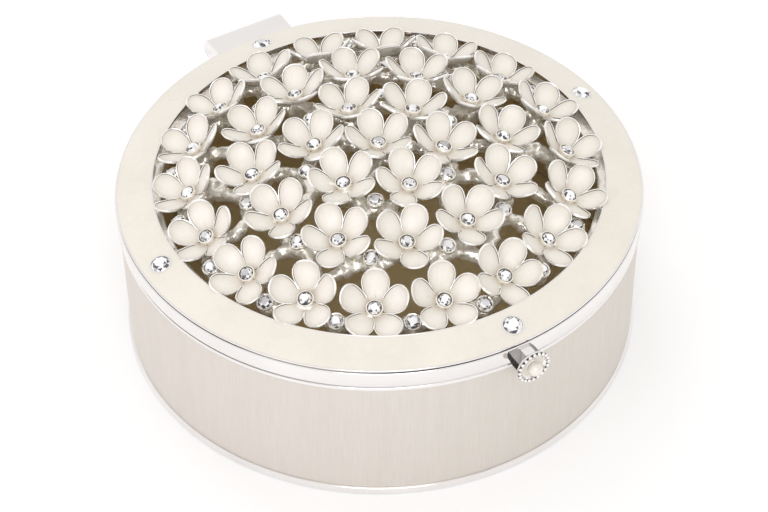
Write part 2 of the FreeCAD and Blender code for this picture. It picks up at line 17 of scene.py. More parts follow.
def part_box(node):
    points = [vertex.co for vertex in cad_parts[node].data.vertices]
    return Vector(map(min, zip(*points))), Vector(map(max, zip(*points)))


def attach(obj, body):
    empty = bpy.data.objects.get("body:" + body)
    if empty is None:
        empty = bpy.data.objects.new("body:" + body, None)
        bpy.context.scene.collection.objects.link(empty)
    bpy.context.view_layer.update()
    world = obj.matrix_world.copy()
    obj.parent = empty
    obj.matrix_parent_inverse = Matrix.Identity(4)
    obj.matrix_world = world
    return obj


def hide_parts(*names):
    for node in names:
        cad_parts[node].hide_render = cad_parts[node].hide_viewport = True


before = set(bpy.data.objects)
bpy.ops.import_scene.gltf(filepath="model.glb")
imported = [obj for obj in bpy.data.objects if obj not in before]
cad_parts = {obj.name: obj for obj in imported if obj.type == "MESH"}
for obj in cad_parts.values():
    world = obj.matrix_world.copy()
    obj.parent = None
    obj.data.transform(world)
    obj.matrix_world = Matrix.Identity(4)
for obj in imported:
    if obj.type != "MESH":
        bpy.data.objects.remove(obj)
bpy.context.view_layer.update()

# %% [markdown]
# ## The sizes that the rest hangs on
#
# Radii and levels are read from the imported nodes, so that a new piece always sits where its node does.
# A few sizes lie inside a node, and no box of a node gives them: those are written here in millimetres.

# %% Radii and levels
mm = 0.001


def levels(node):
    """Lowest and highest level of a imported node."""
    return [corner.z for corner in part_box(node)]


def reach(node):
    """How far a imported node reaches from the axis, to the right."""
    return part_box(node)[1].x


foot_radius, wall_radius, rim_radius = reach("base_plate"), reach("drum_wall"), reach("base_rim")
lid_radius, ring_radius, flange_radius = reach("lid_band"), reach("lid_ring"), reach("lattice")
wall_low, wall_high = levels("drum_wall")
band_low, band_high = levels("lid_band")
lip_high = levels("base_rim")[1]
ring_high = levels("lid_ring")[1]
flange_low = levels("lattice_retainer")[1]

rim_thickness = 1.0 * mm
rim_high = wall_high + rim_thickness
lip_radius = 43.1 * mm
lip_wall = 1.1 * mm
wall_thickness = 1.6 * mm
band_thickness = 1.5 * mm
ring_edge = 0.45 * mm
ring_edge_high = band_high + ring_edge
ring_border = 0.22 * mm
ring_lip_inside = 41.7 * mm
opening_radius = 38.4 * mm
flange_thickness = 1.0 * mm
flange_high = flange_low + flange_thickness
print(f"lid {2 * lid_radius / mm:.1f} mm across, opening {2 * opening_radius / mm:.1f} mm")

# %% [markdown]
# ## The camera
#
# The photograph looks down on the box from the front left, from far enough away to be nearly flat. Its
# angle was found from the ellipses of the lid and the foot. The camera is placed on a sphere round the
# lid, turned to its aim, and rolled a little, as a camera held by hand is.

# %% Place the camera
frame_width_pixels = 768
focal_pixels = 2301.46
sensor_width_mm = 36.0
camera_distance = 8.718 * lid_radius
camera_elevation = math.radians(42.22)
camera_azimuth = math.radians(-30.2)
camera_roll = math.radians(-0.727)
lid_level = 29.5 * mm
aim_aside = 0.015 * lid_radius
aim_level = lid_level - 0.405 * lid_radius


def place_camera():
    """Camera at the photograph's angle, looking at a point on the drum's axis."""
    turn = Matrix.Rotation(camera_azimuth, 3, "Z")
    ahead = Vector((0, -math.cos(camera_elevation), math.sin(camera_elevation)))
    spot = turn @ (ahead * camera_distance) + Vector((0, 0, lid_level))
    aim = turn @ Vector((aim_aside, 0, 0)) + Vector((0, 0, aim_level))
    back = (spot - aim).normalized()
    right = Vector((0, 0, 1)).cross(back).normalized()
    level = Matrix((right, back.cross(right), back)).transposed()
    lens = bpy.data.cameras.new("photo_camera")
    lens.sensor_width = sensor_width_mm
    lens.lens = sensor_width_mm * focal_pixels / frame_width_pixels
    camera = bpy.data.objects.new("photo_camera", lens)
    camera.matrix_world = Matrix.Translation(spot) @ (level @ Matrix.Rotation(camera_roll, 3, "Z")).to_4x4()
    bpy.context.scene.collection.objects.link(camera)
    bpy.context.scene.camera = camera
    return camera


camera = place_camera()
print("camera at", [round(number, 3) for number in camera.matrix_world.translation])

# %% [markdown]
# ## Shader maths as Python expressions
#
# A material is a small sum: a noise times a share, plus a base. Wiring that by hand hides the sum, so one
# class wraps a socket and overloads the operators. An expression on wrapped sockets adds Math nodes, and
# the `node` method makes every other kind of node in one line.


# %% A wrapper for sockets
class Wire:
    """An output socket that can be used in sums."""

    def __init__(self, socket):
        self.socket = socket
        self.tree = socket.id_data

    def node(self, kind, settings=None, sockets=None, out=0):
        """Any node: its settings first, then the values or links of its sockets."""
        made = self.tree.nodes.new(f"ShaderNode{kind}")
        for name, value in (settings or {}).items():
            if name == "stops":
                set_stops(made.color_ramp.elements, value)
            else:
                setattr(made, name, value)
        for place, value in (sockets or {}).items():
            plug(made.inputs[place], value)
        return Wire(made.outputs[out])

    def maths(self, operation, *others):
        return self.node("Math", {"operation": operation}, dict(enumerate((self,) + others)))

    def __add__(self, other):
        return self.maths("ADD", other)

    def __sub__(self, other):
        return self.maths("SUBTRACT", other)

    def __rsub__(self, other):
        return self * -1 + other

    def __mul__(self, other):
        return self.maths("MULTIPLY", other)

    def __pow__(self, other):
        return self.maths("POWER", other)

    __radd__ = __add__
    __rmul__ = __mul__

    def parts(self):
        """The three numbers of a vector."""
        split = self.node("SeparateXYZ", None, {0: self}).socket.node
        return [Wire(socket) for socket in split.outputs]

    def stretched(self, shares):
        """Coordinates scaled along each axis."""
        return self.node("Mapping", None, {"Vector": self, "Scale": shares})

    def noise(self, scale, detail=3.0, roughness=0.5):
        sockets = {"Vector": self, "Scale": scale, "Detail": detail, "Roughness": roughness}
        return self.node("TexNoise", None, sockets)

    def ramp(self, *stops):
        return self.node("ValToRGB", {"stops": stops}, {"Fac": self})

    def mix(self, first, second):
        """Colour between two others, by this share."""
        return self.node("Mix", {"data_type": "RGBA"}, {0: self, 6: first, 7: second}, out=2)

    def bump(self, strength, distance):
        return self.node("Bump", None, {"Height": self, "Strength": strength, "Distance": distance})


def plug(socket, value):
    """Link a wire to a socket, or set the socket's value."""
    if isinstance(value, Wire):
        socket.id_data.links.new(value.socket, socket)
    else:
        socket.default_value = value


def set_stops(elements, stops):
    """Give a ramp its places and colours."""
    while len(elements) < len(stops):
        elements.new(1.0)
    for element, (place, colour) in zip(elements, stops):
        element.position = place
        element.color = (*colour, 1.0)


def finish(name, paint):
    """Material whose shader sockets are what paint returns for the object's coordinates."""
    material = bpy.data.materials.new(name)
    material.use_nodes = True
    nodes = material.node_tree.nodes
    where = Wire(nodes.new("ShaderNodeTexCoord").outputs["Object"])
    for socket, value in paint(where).items():
        plug(nodes["Principled BSDF"].inputs[socket], value)
    print("finish:", name, "with", len(nodes), "nodes")
    return material


# %% [markdown]
# ## Polished silver plate
#
# The band, the rims, the hinge and the knob are plated and buffed. Buffed plate is almost a mirror, but
# never an even one: its gloss changes in soft clouds, and the wheel leaves hair lines. So the roughness
# follows a large noise, and a very fine noise gives a faint bump.


# %% Polished silver
def polished_silver(where):
    clouds = where.noise(60.0)
    hairs = where.stretched((900.0, 900.0, 6000.0)).noise(1.0, 2.0)
    return {
        "Base Color": clouds.ramp((0.3, (0.82, 0.795, 0.785)), (0.7, (0.885, 0.865, 0.86))),
        "Metallic": 1.0,
        "Roughness": 0.05 + 0.09 * clouds,
        "Normal": hairs.bump(0.03, 0.00002),
    }


polished = finish("polished_silver", polished_silver)


# %% [markdown]
# ## Painted shade in the seams
#
# The two seams round the lid show as thin dark lines, so the faces inside a seam get finishes of their own
# that paint that shade into their colour: brown-black, with lighter patches. The upper seam's painted shade
# fades out left of the knob. The lower seam's painted shade turns bright on the knob's side, and only its
# far side is dark. Both read how far a point lies that way. The same painted shade darkens the step in each
# petal, the seat round each stone and the lip under the knob's beads.


# %% Painted seam shade
def painted_seam_shade(where):
    across, along, _ = where.parts()
    mottle = where.noise(300.0)
    # the painted shade fades out left of the knob
    left_of_knob = (across + along) * (-math.sqrt(0.5) / lid_radius)
    spot = left_of_knob.ramp((0.95, (0.0, 0.0, 0.0)), (0.97, (1.0, 1.0, 1.0)))
    tone = mottle.ramp((0.35, (0.035, 0.03, 0.025)), (0.7, (0.16, 0.14, 0.12)))
    return {
        "Base Color": spot.mix(tone, (0.9, 0.86, 0.8, 1.0)),
        "Metallic": 0.4,
        "Roughness": 0.4 + 0.2 * mottle,
    }


def fading_seam_shade(where):
    across, along, _ = where.parts()
    mottle = where.noise(300.0)
    # painted shade along the lower seam, turning bright towards the knob's side
    knob_side = (across * 0.5 - along * 0.87) * (0.63 / lid_radius) + 0.4 + mottle * 0.1
    brown, grey, bright = (0.06, 0.045, 0.03), (0.4, 0.37, 0.34), (0.85, 0.83, 0.82)
    return {
        "Base Color": knob_side.ramp((0.25, brown), (0.5, grey), (0.85, bright)),
        "Metallic": 0.4,
        "Roughness": 0.4 + 0.2 * mottle,
    }


painted_shade_finish = finish("painted_seam_shade", painted_seam_shade)
fading_shade_finish = finish("fading_seam_shade", fading_seam_shade)


# %% [markdown]
# ## Bright cast silver
#
# The twigs and cups are cast and plated, so they are bright but lumpy. A mid-size noise roughens the
# gloss and bends the reflections, and its low spots are painted a darker, warmer tone, as painted shade in
# the hollows.


# %% Cast silver
def cast_silver(where):
    lumps = where.noise(900.0, 4.0, 0.6)
    stain = where.noise(260.0)
    # painted shade: the low spots of the lumps are darker and warmer
    tone = lumps.ramp((0.3, (0.60, 0.49, 0.33)), (0.42, (0.93, 0.885, 0.80)), (0.7, (0.99, 0.975, 0.945)))
    return {
        "Base Color": (0.25 * stain).mix(tone, (0.84, 0.79, 0.70, 1.0)),
        "Metallic": 0.6,
        "Roughness": 0.04 + 0.2 * lumps,
        "Normal": lumps.bump(0.5, 0.0003),
    }


cast = finish("cast_silver", cast_silver)


# %% [markdown]
# ## Brushed drum
#
# The drum was brushed upright, so its lines run up the wall. Noise on the angle round the drum, and
# hardly at all on the height, gives lines that follow the wall without any image. They change the tone,
# the gloss and the surface together.


# %% Brushed silver
def brushed_silver(where):
    across, along, height = where.parts()
    angle = along.maths("ARCTAN2", across)
    fine = where.node("CombineXYZ", None, {0: angle * 190.0, 1: height * 160.0}).noise(1.0, 3.0, 0.75)
    broad = where.node("CombineXYZ", None, {0: angle * 30.0, 1: height * 40.0}).noise(1.0, 2.0)
    lines = fine * 0.75 + broad * 0.25
    return {
        "Base Color": lines.ramp((0.32, (0.635, 0.59, 0.54)), (0.68, (0.70, 0.66, 0.61))),
        "Metallic": 0.55,
        "Roughness": 0.42 + 0.2 * lines,
        "Normal": fine.bump(0.2, 0.00004),
    }


brushed = finish("brushed_silver", brushed_silver)


# %% [markdown]
# ## Cream enamel on the ring
#
# The ring is flooded with cream enamel and fired, so it is glossy, with faint clouds where it pooled.
# The clouds are two noises of different size, kept within a narrow range of creams.


# %% Ring enamel
def ring_enamel(where):
    pools = where.noise(110.0, 4.0, 0.55)
    specks = where.noise(900.0, 2.0)
    clouds = pools * 0.7 + specks * 0.3
    return {
        "Base Color": clouds.ramp((0.3, (0.695, 0.655, 0.58)), (0.7, (0.75, 0.715, 0.645))),
        "Roughness": 0.2 + 0.16 * pools,
        "Coat Weight": 0.25,
        "Coat Roughness": 0.08,
        "Normal": pools.bump(0.08, 0.0003),
    }


enamel = finish("ring_enamel", ring_enamel)


# %% [markdown]
# ## Pearly enamel in the petals
#
# Each petal holds a thin film of pearly enamel. The film drew out along the petal as it dried, so it
# has fine streaks from the middle to the tip. A painted highlight glows in the middle, and painted shade
# turns it beige towards its edge.
# The petals carry a UV map laid out before they were bent, with U along the petal, and the tone reads it.


# %% Petal enamel
def petal_enamel(where):
    flat = where.node("UVMap", {"uv_map": "petal"})
    along, across, _ = flat.parts()
    edge = (along - 0.56) ** 2 * 3.6 + across ** 2
    streaks = flat.stretched((2.2, 15.0, 1.0)).noise(1.0, 3.0, 0.6)
    pools = where.noise(420.0)
    # painted highlight in the middle of each petal, painted shade towards its edge
    tone = edge * 0.5 + streaks * 0.3 + pools * 0.2
    painted_highlight, cream, beige = (0.86, 0.83, 0.775), (0.75, 0.705, 0.635), (0.57, 0.515, 0.44)
    return {
        "Base Color": tone.ramp((0.2, painted_highlight), (0.45, cream), (0.75, beige)),
        "Roughness": 0.26 + 0.2 * streaks,
        "Coat Weight": 0.5 * pools,
        "Coat Roughness": 0.2,
        "Normal": streaks.bump(0.12, 0.0002),
    }


pearly = finish("petal_enamel", petal_enamel)


# %% [markdown]
# ## Frosted silver on the petals' backs
#
# The petals' backs were brushed with a wire wheel from the stem outwards, so they are ridged and frosty
# and never mirror what is under them. The ridges use the same UV map as the enamel.


# %% Frosted silver
def frosted_silver(where):
    flat = where.node("UVMap", {"uv_map": "petal"})
    ridges = flat.stretched((2.0, 26.0, 1.0)).noise(1.0, 2.0, 0.6)
    groove, ridge, crest = (0.74, 0.69, 0.61), (0.95, 0.93, 0.89), (1.0, 1.0, 0.99)
    return {
        "Base Color": ridges.ramp((0.3, groove), (0.5, ridge), (0.7, crest)),
        "Metallic": 0.25,
        "Roughness": 0.3 + 0.25 * ridges,
        "Normal": ridges.bump(0.6, 0.0002),
    }


frosted = finish("frosted_silver", frosted_silver)


# %% [markdown]
# ## Bright rims
#
# The petals' rims are painted the whitest silver on the box: less of a mirror than the band, and bright
# from every side, as a painted highlight along each rim.


# %% Bright rim silver
def rim_highlight_silver(where):
    rim_mottle = where.noise(500.0)
    return {
        # painted highlight: near-white and less of a mirror, so bright from every side
        "Base Color": rim_mottle.ramp((0.35, (0.78, 0.75, 0.70)), (0.6, (0.98, 0.975, 0.96))),
        "Metallic": 0.5,
        "Roughness": 0.18 + 0.15 * rim_mottle,
    }


rim_highlight_finish = finish("rim_highlight_silver", rim_highlight_silver)


# %% [markdown]
# ## Faceted stones
#
# A foil-backed stone sends light back from its pavilion, so some facets flash white and some go dark.
# That flash is painted in: each facet carries its own number, and a painted reflection tone follows it:
# most are bright, a few are deep grey.


# %% Crystal
def crystal(where):
    facet = where.node("Attribute", {"attribute_name": "facet"}, out="Fac")
    dark, dim = (0.04, 0.04, 0.05), (0.16, 0.155, 0.16)
    pale, white = (0.66, 0.65, 0.66), (0.98, 0.98, 0.99)
    return {
        # painted reflections: each facet's tone stands for what it would mirror
        "Base Color": facet.ramp((0.0, dark), (0.28, dim), (0.42, pale), (0.6, white)),
        "Metallic": 0.25 + 0.25 * facet,
        "Roughness": 0.04 + 0.08 * facet,
        "Coat Weight": 0.5,
        "Coat Roughness": 0.02,
    }


stone_finish = finish("crystal", crystal)


# %% [markdown]
# ## Pearl, velvet, felt and wire
#
# The pearl has a soft white body with faint pink and green clouds under a clear coat. The box is lined
# with old-gold velvet, whose pile is a very fine noise with a sheen at its edges, and the foot has a disc
# of dark felt. The hinge pin is plain drawn wire, with its lines along it.


# %% Pearl, velvet, felt and wire
def pearl(where):
    clouds = where.noise(700.0, 2.0)
    pink, white, green = (0.72, 0.655, 0.58), (0.77, 0.725, 0.655), (0.72, 0.71, 0.64)
    return {
        "Base Color": clouds.ramp((0.35, pink), (0.5, white), (0.65, green)),
        "Roughness": 0.22 + 0.08 * clouds,
        "Metallic": 0.25 * clouds,
        "Coat Weight": 0.9,
        "Coat Roughness": 0.05,
    }


def velvet(where):
    pile = where.noise(5200.0, 2.0, 0.7)
    tone = pile * 0.4 + where.noise(90.0) * 0.6
    return {
        "Base Color": tone.ramp((0.3, (0.72, 0.56, 0.29)), (0.7, (0.86, 0.70, 0.41))),
        "Roughness": 0.85 + 0.1 * pile,
        "Sheen Weight": 0.4,
        "Sheen Roughness": 0.4,
        "Normal": pile.bump(0.5, 0.0002),
    }


def felt(where):
    fibres = where.stretched((1.0, 2.5, 1.0)).noise(2600.0, 4.0, 0.7)
    return {
        "Base Color": fibres.ramp((0.3, (0.03, 0.028, 0.026)), (0.7, (0.085, 0.08, 0.075))),
        "Roughness": 0.9 + 0.08 * fibres,
        "Normal": fibres.bump(0.6, 0.0002),
    }


def drawn_wire(where):
    lines = where.stretched((60.0, 4000.0, 4000.0)).noise(1.0, 2.0)
    return {
        "Base Color": lines.ramp((0.3, (0.42, 0.41, 0.40)), (0.7, (0.62, 0.61, 0.60))),
        "Metallic": 1.0,
        "Roughness": 0.25 + 0.2 * lines,
    }


pearl_finish = finish("pearl", pearl)
velvet_finish = finish("velvet", velvet)
felt_finish = finish("felt", felt)
wire_finish = finish("drawn_wire", drawn_wire)

# %% [markdown]
# ## From a bmesh to a piece
#
# A bmesh is only a workbench. When a shape is done it becomes an object that rides on its body, takes
# its finishes and stands for the nodes it replaces. Curved faces are shaded smooth, and edges sharper than
# a limit stay crisp.

# %% Finish a piece
crisp_degrees = 38.0


def piece(name, bm, finishes, body, slot, *nodes, smooth=True):
    """Object from a bmesh, on its body, with its finishes in order of their material numbers."""
    mesh = bpy.data.meshes.new(name)
    for face in bm.faces:
        face.smooth = smooth
    bm.to_mesh(mesh)
    bm.free()
    if smooth:
        mesh.set_sharp_from_angle(angle=math.radians(crisp_degrees))
    for material in finishes:
        mesh.materials.append(material)
    made = bpy.data.objects.new(name, mesh)
    bpy.context.scene.collection.objects.link(made)
    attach(made, body)
    if nodes:
        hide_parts(*nodes)
    print(f"{name}: {len(mesh.polygons)} faces on {body}")
    return made


# %% [markdown]
# ## Turning on a lathe
#
# Most of the box is round, so most of it is turned: an outline of radius and height is drawn as one flat
# face, its corners are rounded with a vertex bevel, and its edges are spun about the axis. An outline
# that starts and ends on the axis makes a disc, and any other makes a ring.

# %% The lathe
turn_steps = 192
rounding_segments = 4


def turned(corners, roundings=None, steps=turn_steps):
    """Bmesh spun about the axis from (radius, height) corners, with a rounding for some corner numbers."""
    bm = bmesh.new()
    rim = [bm.verts.new((radius, 0, height)) for radius, height in corners]
    bm.faces.new(rim)
    for number, radius in (roundings or {}).items():
        bmesh.ops.bevel(bm, geom=[rim[number]], offset=radius, offset_type="OFFSET", affect="VERTICES",
                        segments=rounding_segments, profile=0.5, material=-1)
    bmesh.ops.delete(bm, geom=bm.faces[:], context="FACES_ONLY")
    on_axis = [edge for edge in bm.edges if all(abs(vert.co.x) < 1e-9 for vert in edge.verts)]
    bmesh.ops.delete(bm, geom=on_axis, context="EDGES")
    bmesh.ops.spin(bm, geom=bm.verts[:] + bm.edges[:], cent=(0, 0, 0), axis=(0, 0, 1),
                   angle=math.tau, steps=steps, use_merge=True)
    bmesh.ops.remove_doubles(bm, verts=bm.verts[:], dist=1e-7)
    bmesh.ops.recalc_face_normals(bm, faces=bm.faces[:])
    return bm


# %% [markdown]
# ## The drum
#
# The foot is a plate whose lip stands out under the wall. The wall is a plain tube, and the rim on top
# of it is a rounded bead with a lip inside that the lid drops over. All three are turned, with the small
# roundings that catch the light.

# %% Foot, wall and rim
spigot_high = levels("base_plate")[1]
spigot_radius = 42.9 * mm
felt_high, felt_radius = levels("underside_pad")[1], reach("underside_pad")
felt_gap = 0.1 * mm
edge_break = 0.12 * mm
foot_break, foot_rounding = 0.25 * mm, 0.3 * mm

piece("foot_plate", turned([
    (0, felt_high),
    (felt_radius + felt_gap, felt_high),
    (felt_radius + felt_gap, 0),
    (foot_radius, 0),
    (foot_radius, wall_low),
    (spigot_radius, wall_low),
    (spigot_radius, spigot_high),
    (0, spigot_high),
], {3: foot_break, 4: foot_rounding}), [polished], "base", "polished_silver", "base_plate")

piece("brushed_wall", turned([
    (wall_radius - wall_thickness, wall_low),
    (wall_radius, wall_low),
    (wall_radius, wall_high),
    (wall_radius - wall_thickness, wall_high),
], {1: edge_break, 2: edge_break}), [brushed], "base", "brushed_silver", "drum_wall")

shoulder_width = 0.5 * mm
shoulder_radius = rim_radius - shoulder_width
shoulder_drop = 0.15 * mm
rim_rounding, lip_rounding, lip_break = 0.3 * mm, 0.35 * mm, 0.2 * mm
seam_margin = 0.1 * mm


def darkened(bm, inside, outside, low, high, back=math.inf):
    """Give the second finish, a painted shade, to the faces between two radii and two levels, in front of a
    plane.
    """
    for face in bm.faces:
        middle = face.calc_center_median()
        if inside < math.hypot(middle.x, middle.y) < outside and low < middle.z < high and middle.y < back:
            face.material_index = 1


rim_shape = turned([
    (lip_radius - lip_wall, wall_high),
    (rim_radius, wall_high),
    (rim_radius, rim_high - shoulder_drop),
    (shoulder_radius, rim_high - shoulder_drop),
    (shoulder_radius, rim_high),
    (lip_radius, rim_high),
    (lip_radius, lip_high),
    (lip_radius - lip_wall, lip_high),
], {1: rim_rounding, 2: rim_rounding, 6: lip_rounding, 7: lip_break})
# The shoulder under the lid's band gets the fading painted seam shade.
darkened(rim_shape, shoulder_radius - seam_margin, rim_radius, rim_high - 1.5 * shoulder_drop, rim_high)
piece("drum_rim", rim_shape, [polished, fading_shade_finish], "base", "polished_silver", "base_rim")

# %% [markdown]
# ## The linings
#
# The pad on the floor is velvet over a thin foam disc, so it is crowned and its edge turns under. The
# sleeve on the wall is flocked card: its top edge is soft. The foot's felt disc has a cut edge. The pad
# is turned, then its top is lifted to a crown and stirred a little, so that no part of it is quite flat.

# %% Pad, sleeve and felt
pad_low, pad_high = levels("floor_pad")
pad_radius = reach("floor_pad")
pad_crown = 0.3 * mm
pad_swell = 0.8 * pad_crown
pad_stir = 0.05 * mm
stir_size = 1 / 90
pad_bands = 12
pad_rounding, lining_rounding, felt_break = 0.6 * mm, 0.3 * mm, 0.15 * mm
soft_steps = 96


def crowned_pad():
    bands = [(pad_radius * (1 - band / pad_bands), pad_high - pad_crown) for band in range(1, pad_bands)]
    bm = turned([(0, pad_low), (pad_radius, pad_low), (pad_radius, pad_high - pad_crown)] + bands
                + [(0, pad_high - pad_crown)], {2: pad_rounding}, soft_steps)
    for vert in bm.verts:
        if vert.co.z > pad_high - 1.5 * pad_crown:
            share = math.hypot(vert.co.x, vert.co.y) / pad_radius
            vert.co.z += pad_swell * (1 - share ** 4)
            vert.co.z += pad_stir * noise.noise(vert.co / stir_size)
    return bm


floor_pad = piece("velvet_pad", crowned_pad(), [velvet_finish], "base", "lining", "floor_pad")

lining_low, lining_high = levels("wall_lining")
lining_radius = reach("wall_lining")
lining_wall = 0.6 * mm
piece("flocked_sleeve", turned([
    (lining_radius - lining_wall, lining_low),
    (lining_radius, lining_low),
    (lining_radius, lining_high),
    (lining_radius - lining_wall, lining_high),
], {3: lining_rounding}), [velvet_finish], "base", "lining", "wall_lining")

piece("felt_disc", turned([
    (0, 0),
    (felt_radius, 0),
    (felt_radius, felt_high),
    (0, felt_high),
], {1: felt_break}, soft_steps), [felt_finish], "base", "felt", "underside_pad")

# %% [markdown]
# ## The lid's band and ring
#
# The band is a polished hoop. The ring on it slopes up to the opening, with a raised silver border on
# each side, and the enamel floods the trough between the borders. Enamel draws up at its edges and
# swells between them, so its outline has a low crown.

# %% Band, ring and enamel
slope = (ring_high - ring_edge_high) / (ring_radius - opening_radius)
band_rounding = 0.25 * mm
trough_depth = 0.35 * mm
enamel_crown = 0.1 * mm
enamel_recess = 0.03 * mm
enamel_bands = 8


def ring_level(radius):
    """Height of the ring's slope at a radius."""
    return ring_edge_high + (ring_radius - radius) * slope


piece("lid_hoop", turned([
    (lid_radius - band_thickness, band_low),
    (lid_radius, band_low),
    (lid_radius, band_high),
    (lid_radius - band_thickness, band_high),
], {1: band_rounding, 2: band_rounding}), [polished], "lid", "polished_silver", "lid_band")

trough_outside = ring_radius - ring_border
trough_inside = opening_radius + ring_border
ring_fit = 0.1 * mm
ring_lip_outside = lid_radius - band_thickness - ring_fit
groove_height, groove_depth = 0.2 * mm, 0.4 * mm
groove_radius = ring_radius - groove_depth
ring_rounding, border_rounding = 0.1 * mm, 0.06 * mm
ring_shape = turned([
    (groove_radius, band_high),
    (groove_radius, band_high + groove_height),
    (ring_radius, band_high + groove_height),
    (ring_radius, ring_edge_high),
    (trough_outside, ring_level(trough_outside)),
    (trough_outside, ring_level(trough_outside) - trough_depth),
    (trough_inside, ring_level(trough_inside) - trough_depth),
    (trough_inside, ring_level(trough_inside)),
    (opening_radius, ring_high),
    (opening_radius, flange_high),
    (ring_lip_inside, flange_high),
    (ring_lip_inside, flange_low),
    (ring_lip_outside, flange_low),
    (ring_lip_outside, band_high),
], {3: ring_rounding, 4: border_rounding, 7: border_rounding, 8: edge_break})
hinge_half = reach("hinge_lid_leaf")
behind = math.sqrt(groove_radius ** 2 - hinge_half ** 2)
# The groove under the ring gets the painted seam shade, except behind the hinge.
darkened(ring_shape, groove_radius - seam_margin, ring_radius - seam_margin, band_high,
         band_high + 1.2 * groove_height, behind)
piece("sloping_ring", ring_shape, [polished, painted_shade_finish], "lid", "polished_silver", "lid_ring")


def enamel_outline():
    """Top of the enamel from the outer border to the inner one, with its crown."""
    points = []
    for band in range(enamel_bands + 1):
        share = band / enamel_bands
        radius = trough_outside + (trough_inside - trough_outside) * share
        swell = enamel_crown * math.sin(math.pi * share) ** 0.5
        points.append((radius, ring_level(radius) - enamel_recess + swell))
    return points


enamel_top = enamel_outline()
enamel_bond = 0.02 * mm
sole_depth = trough_depth - enamel_bond
sole_start = (trough_outside, ring_level(trough_outside) - sole_depth)
sole_end = (trough_inside, ring_level(trough_inside) - sole_depth)
piece("enamel_fill", turned([sole_start] + enamel_top + [sole_end]), [enamel], "lid", "ring_enamel",
      "ring_enamel")

# %% [markdown]
# ## Where the ornament stands
#
# One blossom is in the middle of the dome, and rings of six, twelve and eighteen stand round it. A small
# stone stands in each gap of a ring, a little further out. A place on the dome is a matrix: its Z axis
# stands square to the dome, and its X axis points away from the middle. Two of the rings lean out a little
# more than the dome does, so each ring has a lean of its own.

# %% Places on the dome
dome_radius = 82.0 * mm
dome_drop = 2.2 * mm
dome_edge_level = flange_high - dome_drop
dome_centre = Vector((0, 0, dome_edge_level - math.sqrt(dome_radius ** 2 - opening_radius ** 2)))
pitch_share = 0.278
pitch = opening_radius * pitch_share
blossoms_per_ring = 6
ring_starts = [0.0, 27.0, 11.5, 18.0]
ring_leans = [0.0, 4.0, 0.0, 2.0]
accent_offset_share = 0.24
accent_rise = 0.4 * mm
accent_lift = Matrix.Translation((0, 0, accent_rise))


def on_dome(radius, degrees, lean=0.0):
    """Matrix that takes a piece from the origin to its place on the dome."""
    tilt = math.asin(radius / dome_radius)
    around = Matrix.Rotation(math.radians(degrees), 4, "Z")
    stand = around @ Matrix.Rotation(tilt, 4, "Y") @ Matrix.Translation((0, 0, dome_radius))
    return Matrix.Translation(dome_centre) @ stand @ Matrix.Rotation(math.radians(lean), 4, "Y")


def ring_places(ring, share, lean=0.0):
    """Places of one ring; share moves them out and half a step round."""
    count = blossoms_per_ring * ring
    half = 0.5 if share else 0.0
    steps = [ring_starts[ring] + 360 * (number + half) / count for number in range(count)]
    return [on_dome((ring + share) * pitch, degrees, lean) for degrees in steps]


rings = range(1, len(ring_starts))
blossom_rings = [[on_dome(0, 0)]] + [ring_places(ring, 0, ring_leans[ring]) for ring in rings]
accent_rings = [[place @ accent_lift for place in ring_places(ring, accent_offset_share)] for ring in rings]
blossom_places = [place for ring in blossom_rings for place in ring]
accent_places = [place for ring in accent_rings for place in ring]
print(len(blossom_places), "blossoms and", len(accent_places), "small stones")


def planted(seeds, places):
    """Bmesh with a copy of a seed mesh at each place; the seeds are used in turn."""
    bm = bmesh.new()
    for number, place in enumerate(places):
        start = len(bm.verts)
        bm.from_mesh(seeds[number % len(seeds)])
        bm.verts.ensure_lookup_table()
        bmesh.ops.transform(bm, matrix=place, verts=bm.verts[start:])
    return bm


def seed(bm):
    """Keep a small bmesh as a mesh that can be planted many times."""
    mesh = bpy.data.meshes.new("seed")
    bm.to_mesh(mesh)
    bm.free()
    return mesh


# %% [markdown]
# ## One petal
#
# A petal is a spoon: narrow where it joins, broad near its tip, curved up along its length and cupped
# across. It starts as a disc, drawn out to its outline. Insets cut a silver rim, a small step down and the
# enamel bed into it, and the flat sheet gets its UV map and its thickness. Then it is bent along an arc
# and cupped.

# %% Make a petal
petal_segments = 26
petal_length = 6.0 * mm
petal_half_width = 2.55 * mm
petal_thickness = 0.3 * mm
petal_rim = 0.17 * mm
petal_step = 0.05 * mm
petal_sink = 0.1 * mm
petal_base = 0.95 * mm
petal_base_level = 0.75 * mm
petal_base_degrees = 12.0
petal_tip_degrees = 65.0
petal_cup = 0.55 * mm
petal_waver = 0.16 * mm
waver_size = mm / 0.42
petal_bluntness = 2.3
petal_middle, petal_taper, petal_belly = 0.88, 0.2, 0.12
bed_edge, bed_middle = 0.55 * mm, 0.6 * mm
rim_start_share = 0.2
frost, glaze, silver, shine, shadow = range(5)
petal_insets = [
    # the rim gets the near-white rim finish, a painted highlight
    (shine, petal_rim, 0),
    # the small step down from the rim gets painted shade
    (shadow, petal_step, -petal_sink),
    (glaze, bed_edge, 0),
    (glaze, bed_middle, 0),
]


def petal_outline(x, y):
    """Point of a circle moved to the petal's outline: blunter than an ellipse, and narrow at its base."""
    blunt = (abs(x) ** petal_bluntness + abs(y) ** petal_bluntness) ** (-1 / petal_bluntness)
    width = petal_middle + petal_taper * x - petal_belly * x * x
    return Vector((x * blunt * petal_length / 2, y * blunt * width * petal_half_width, 0))


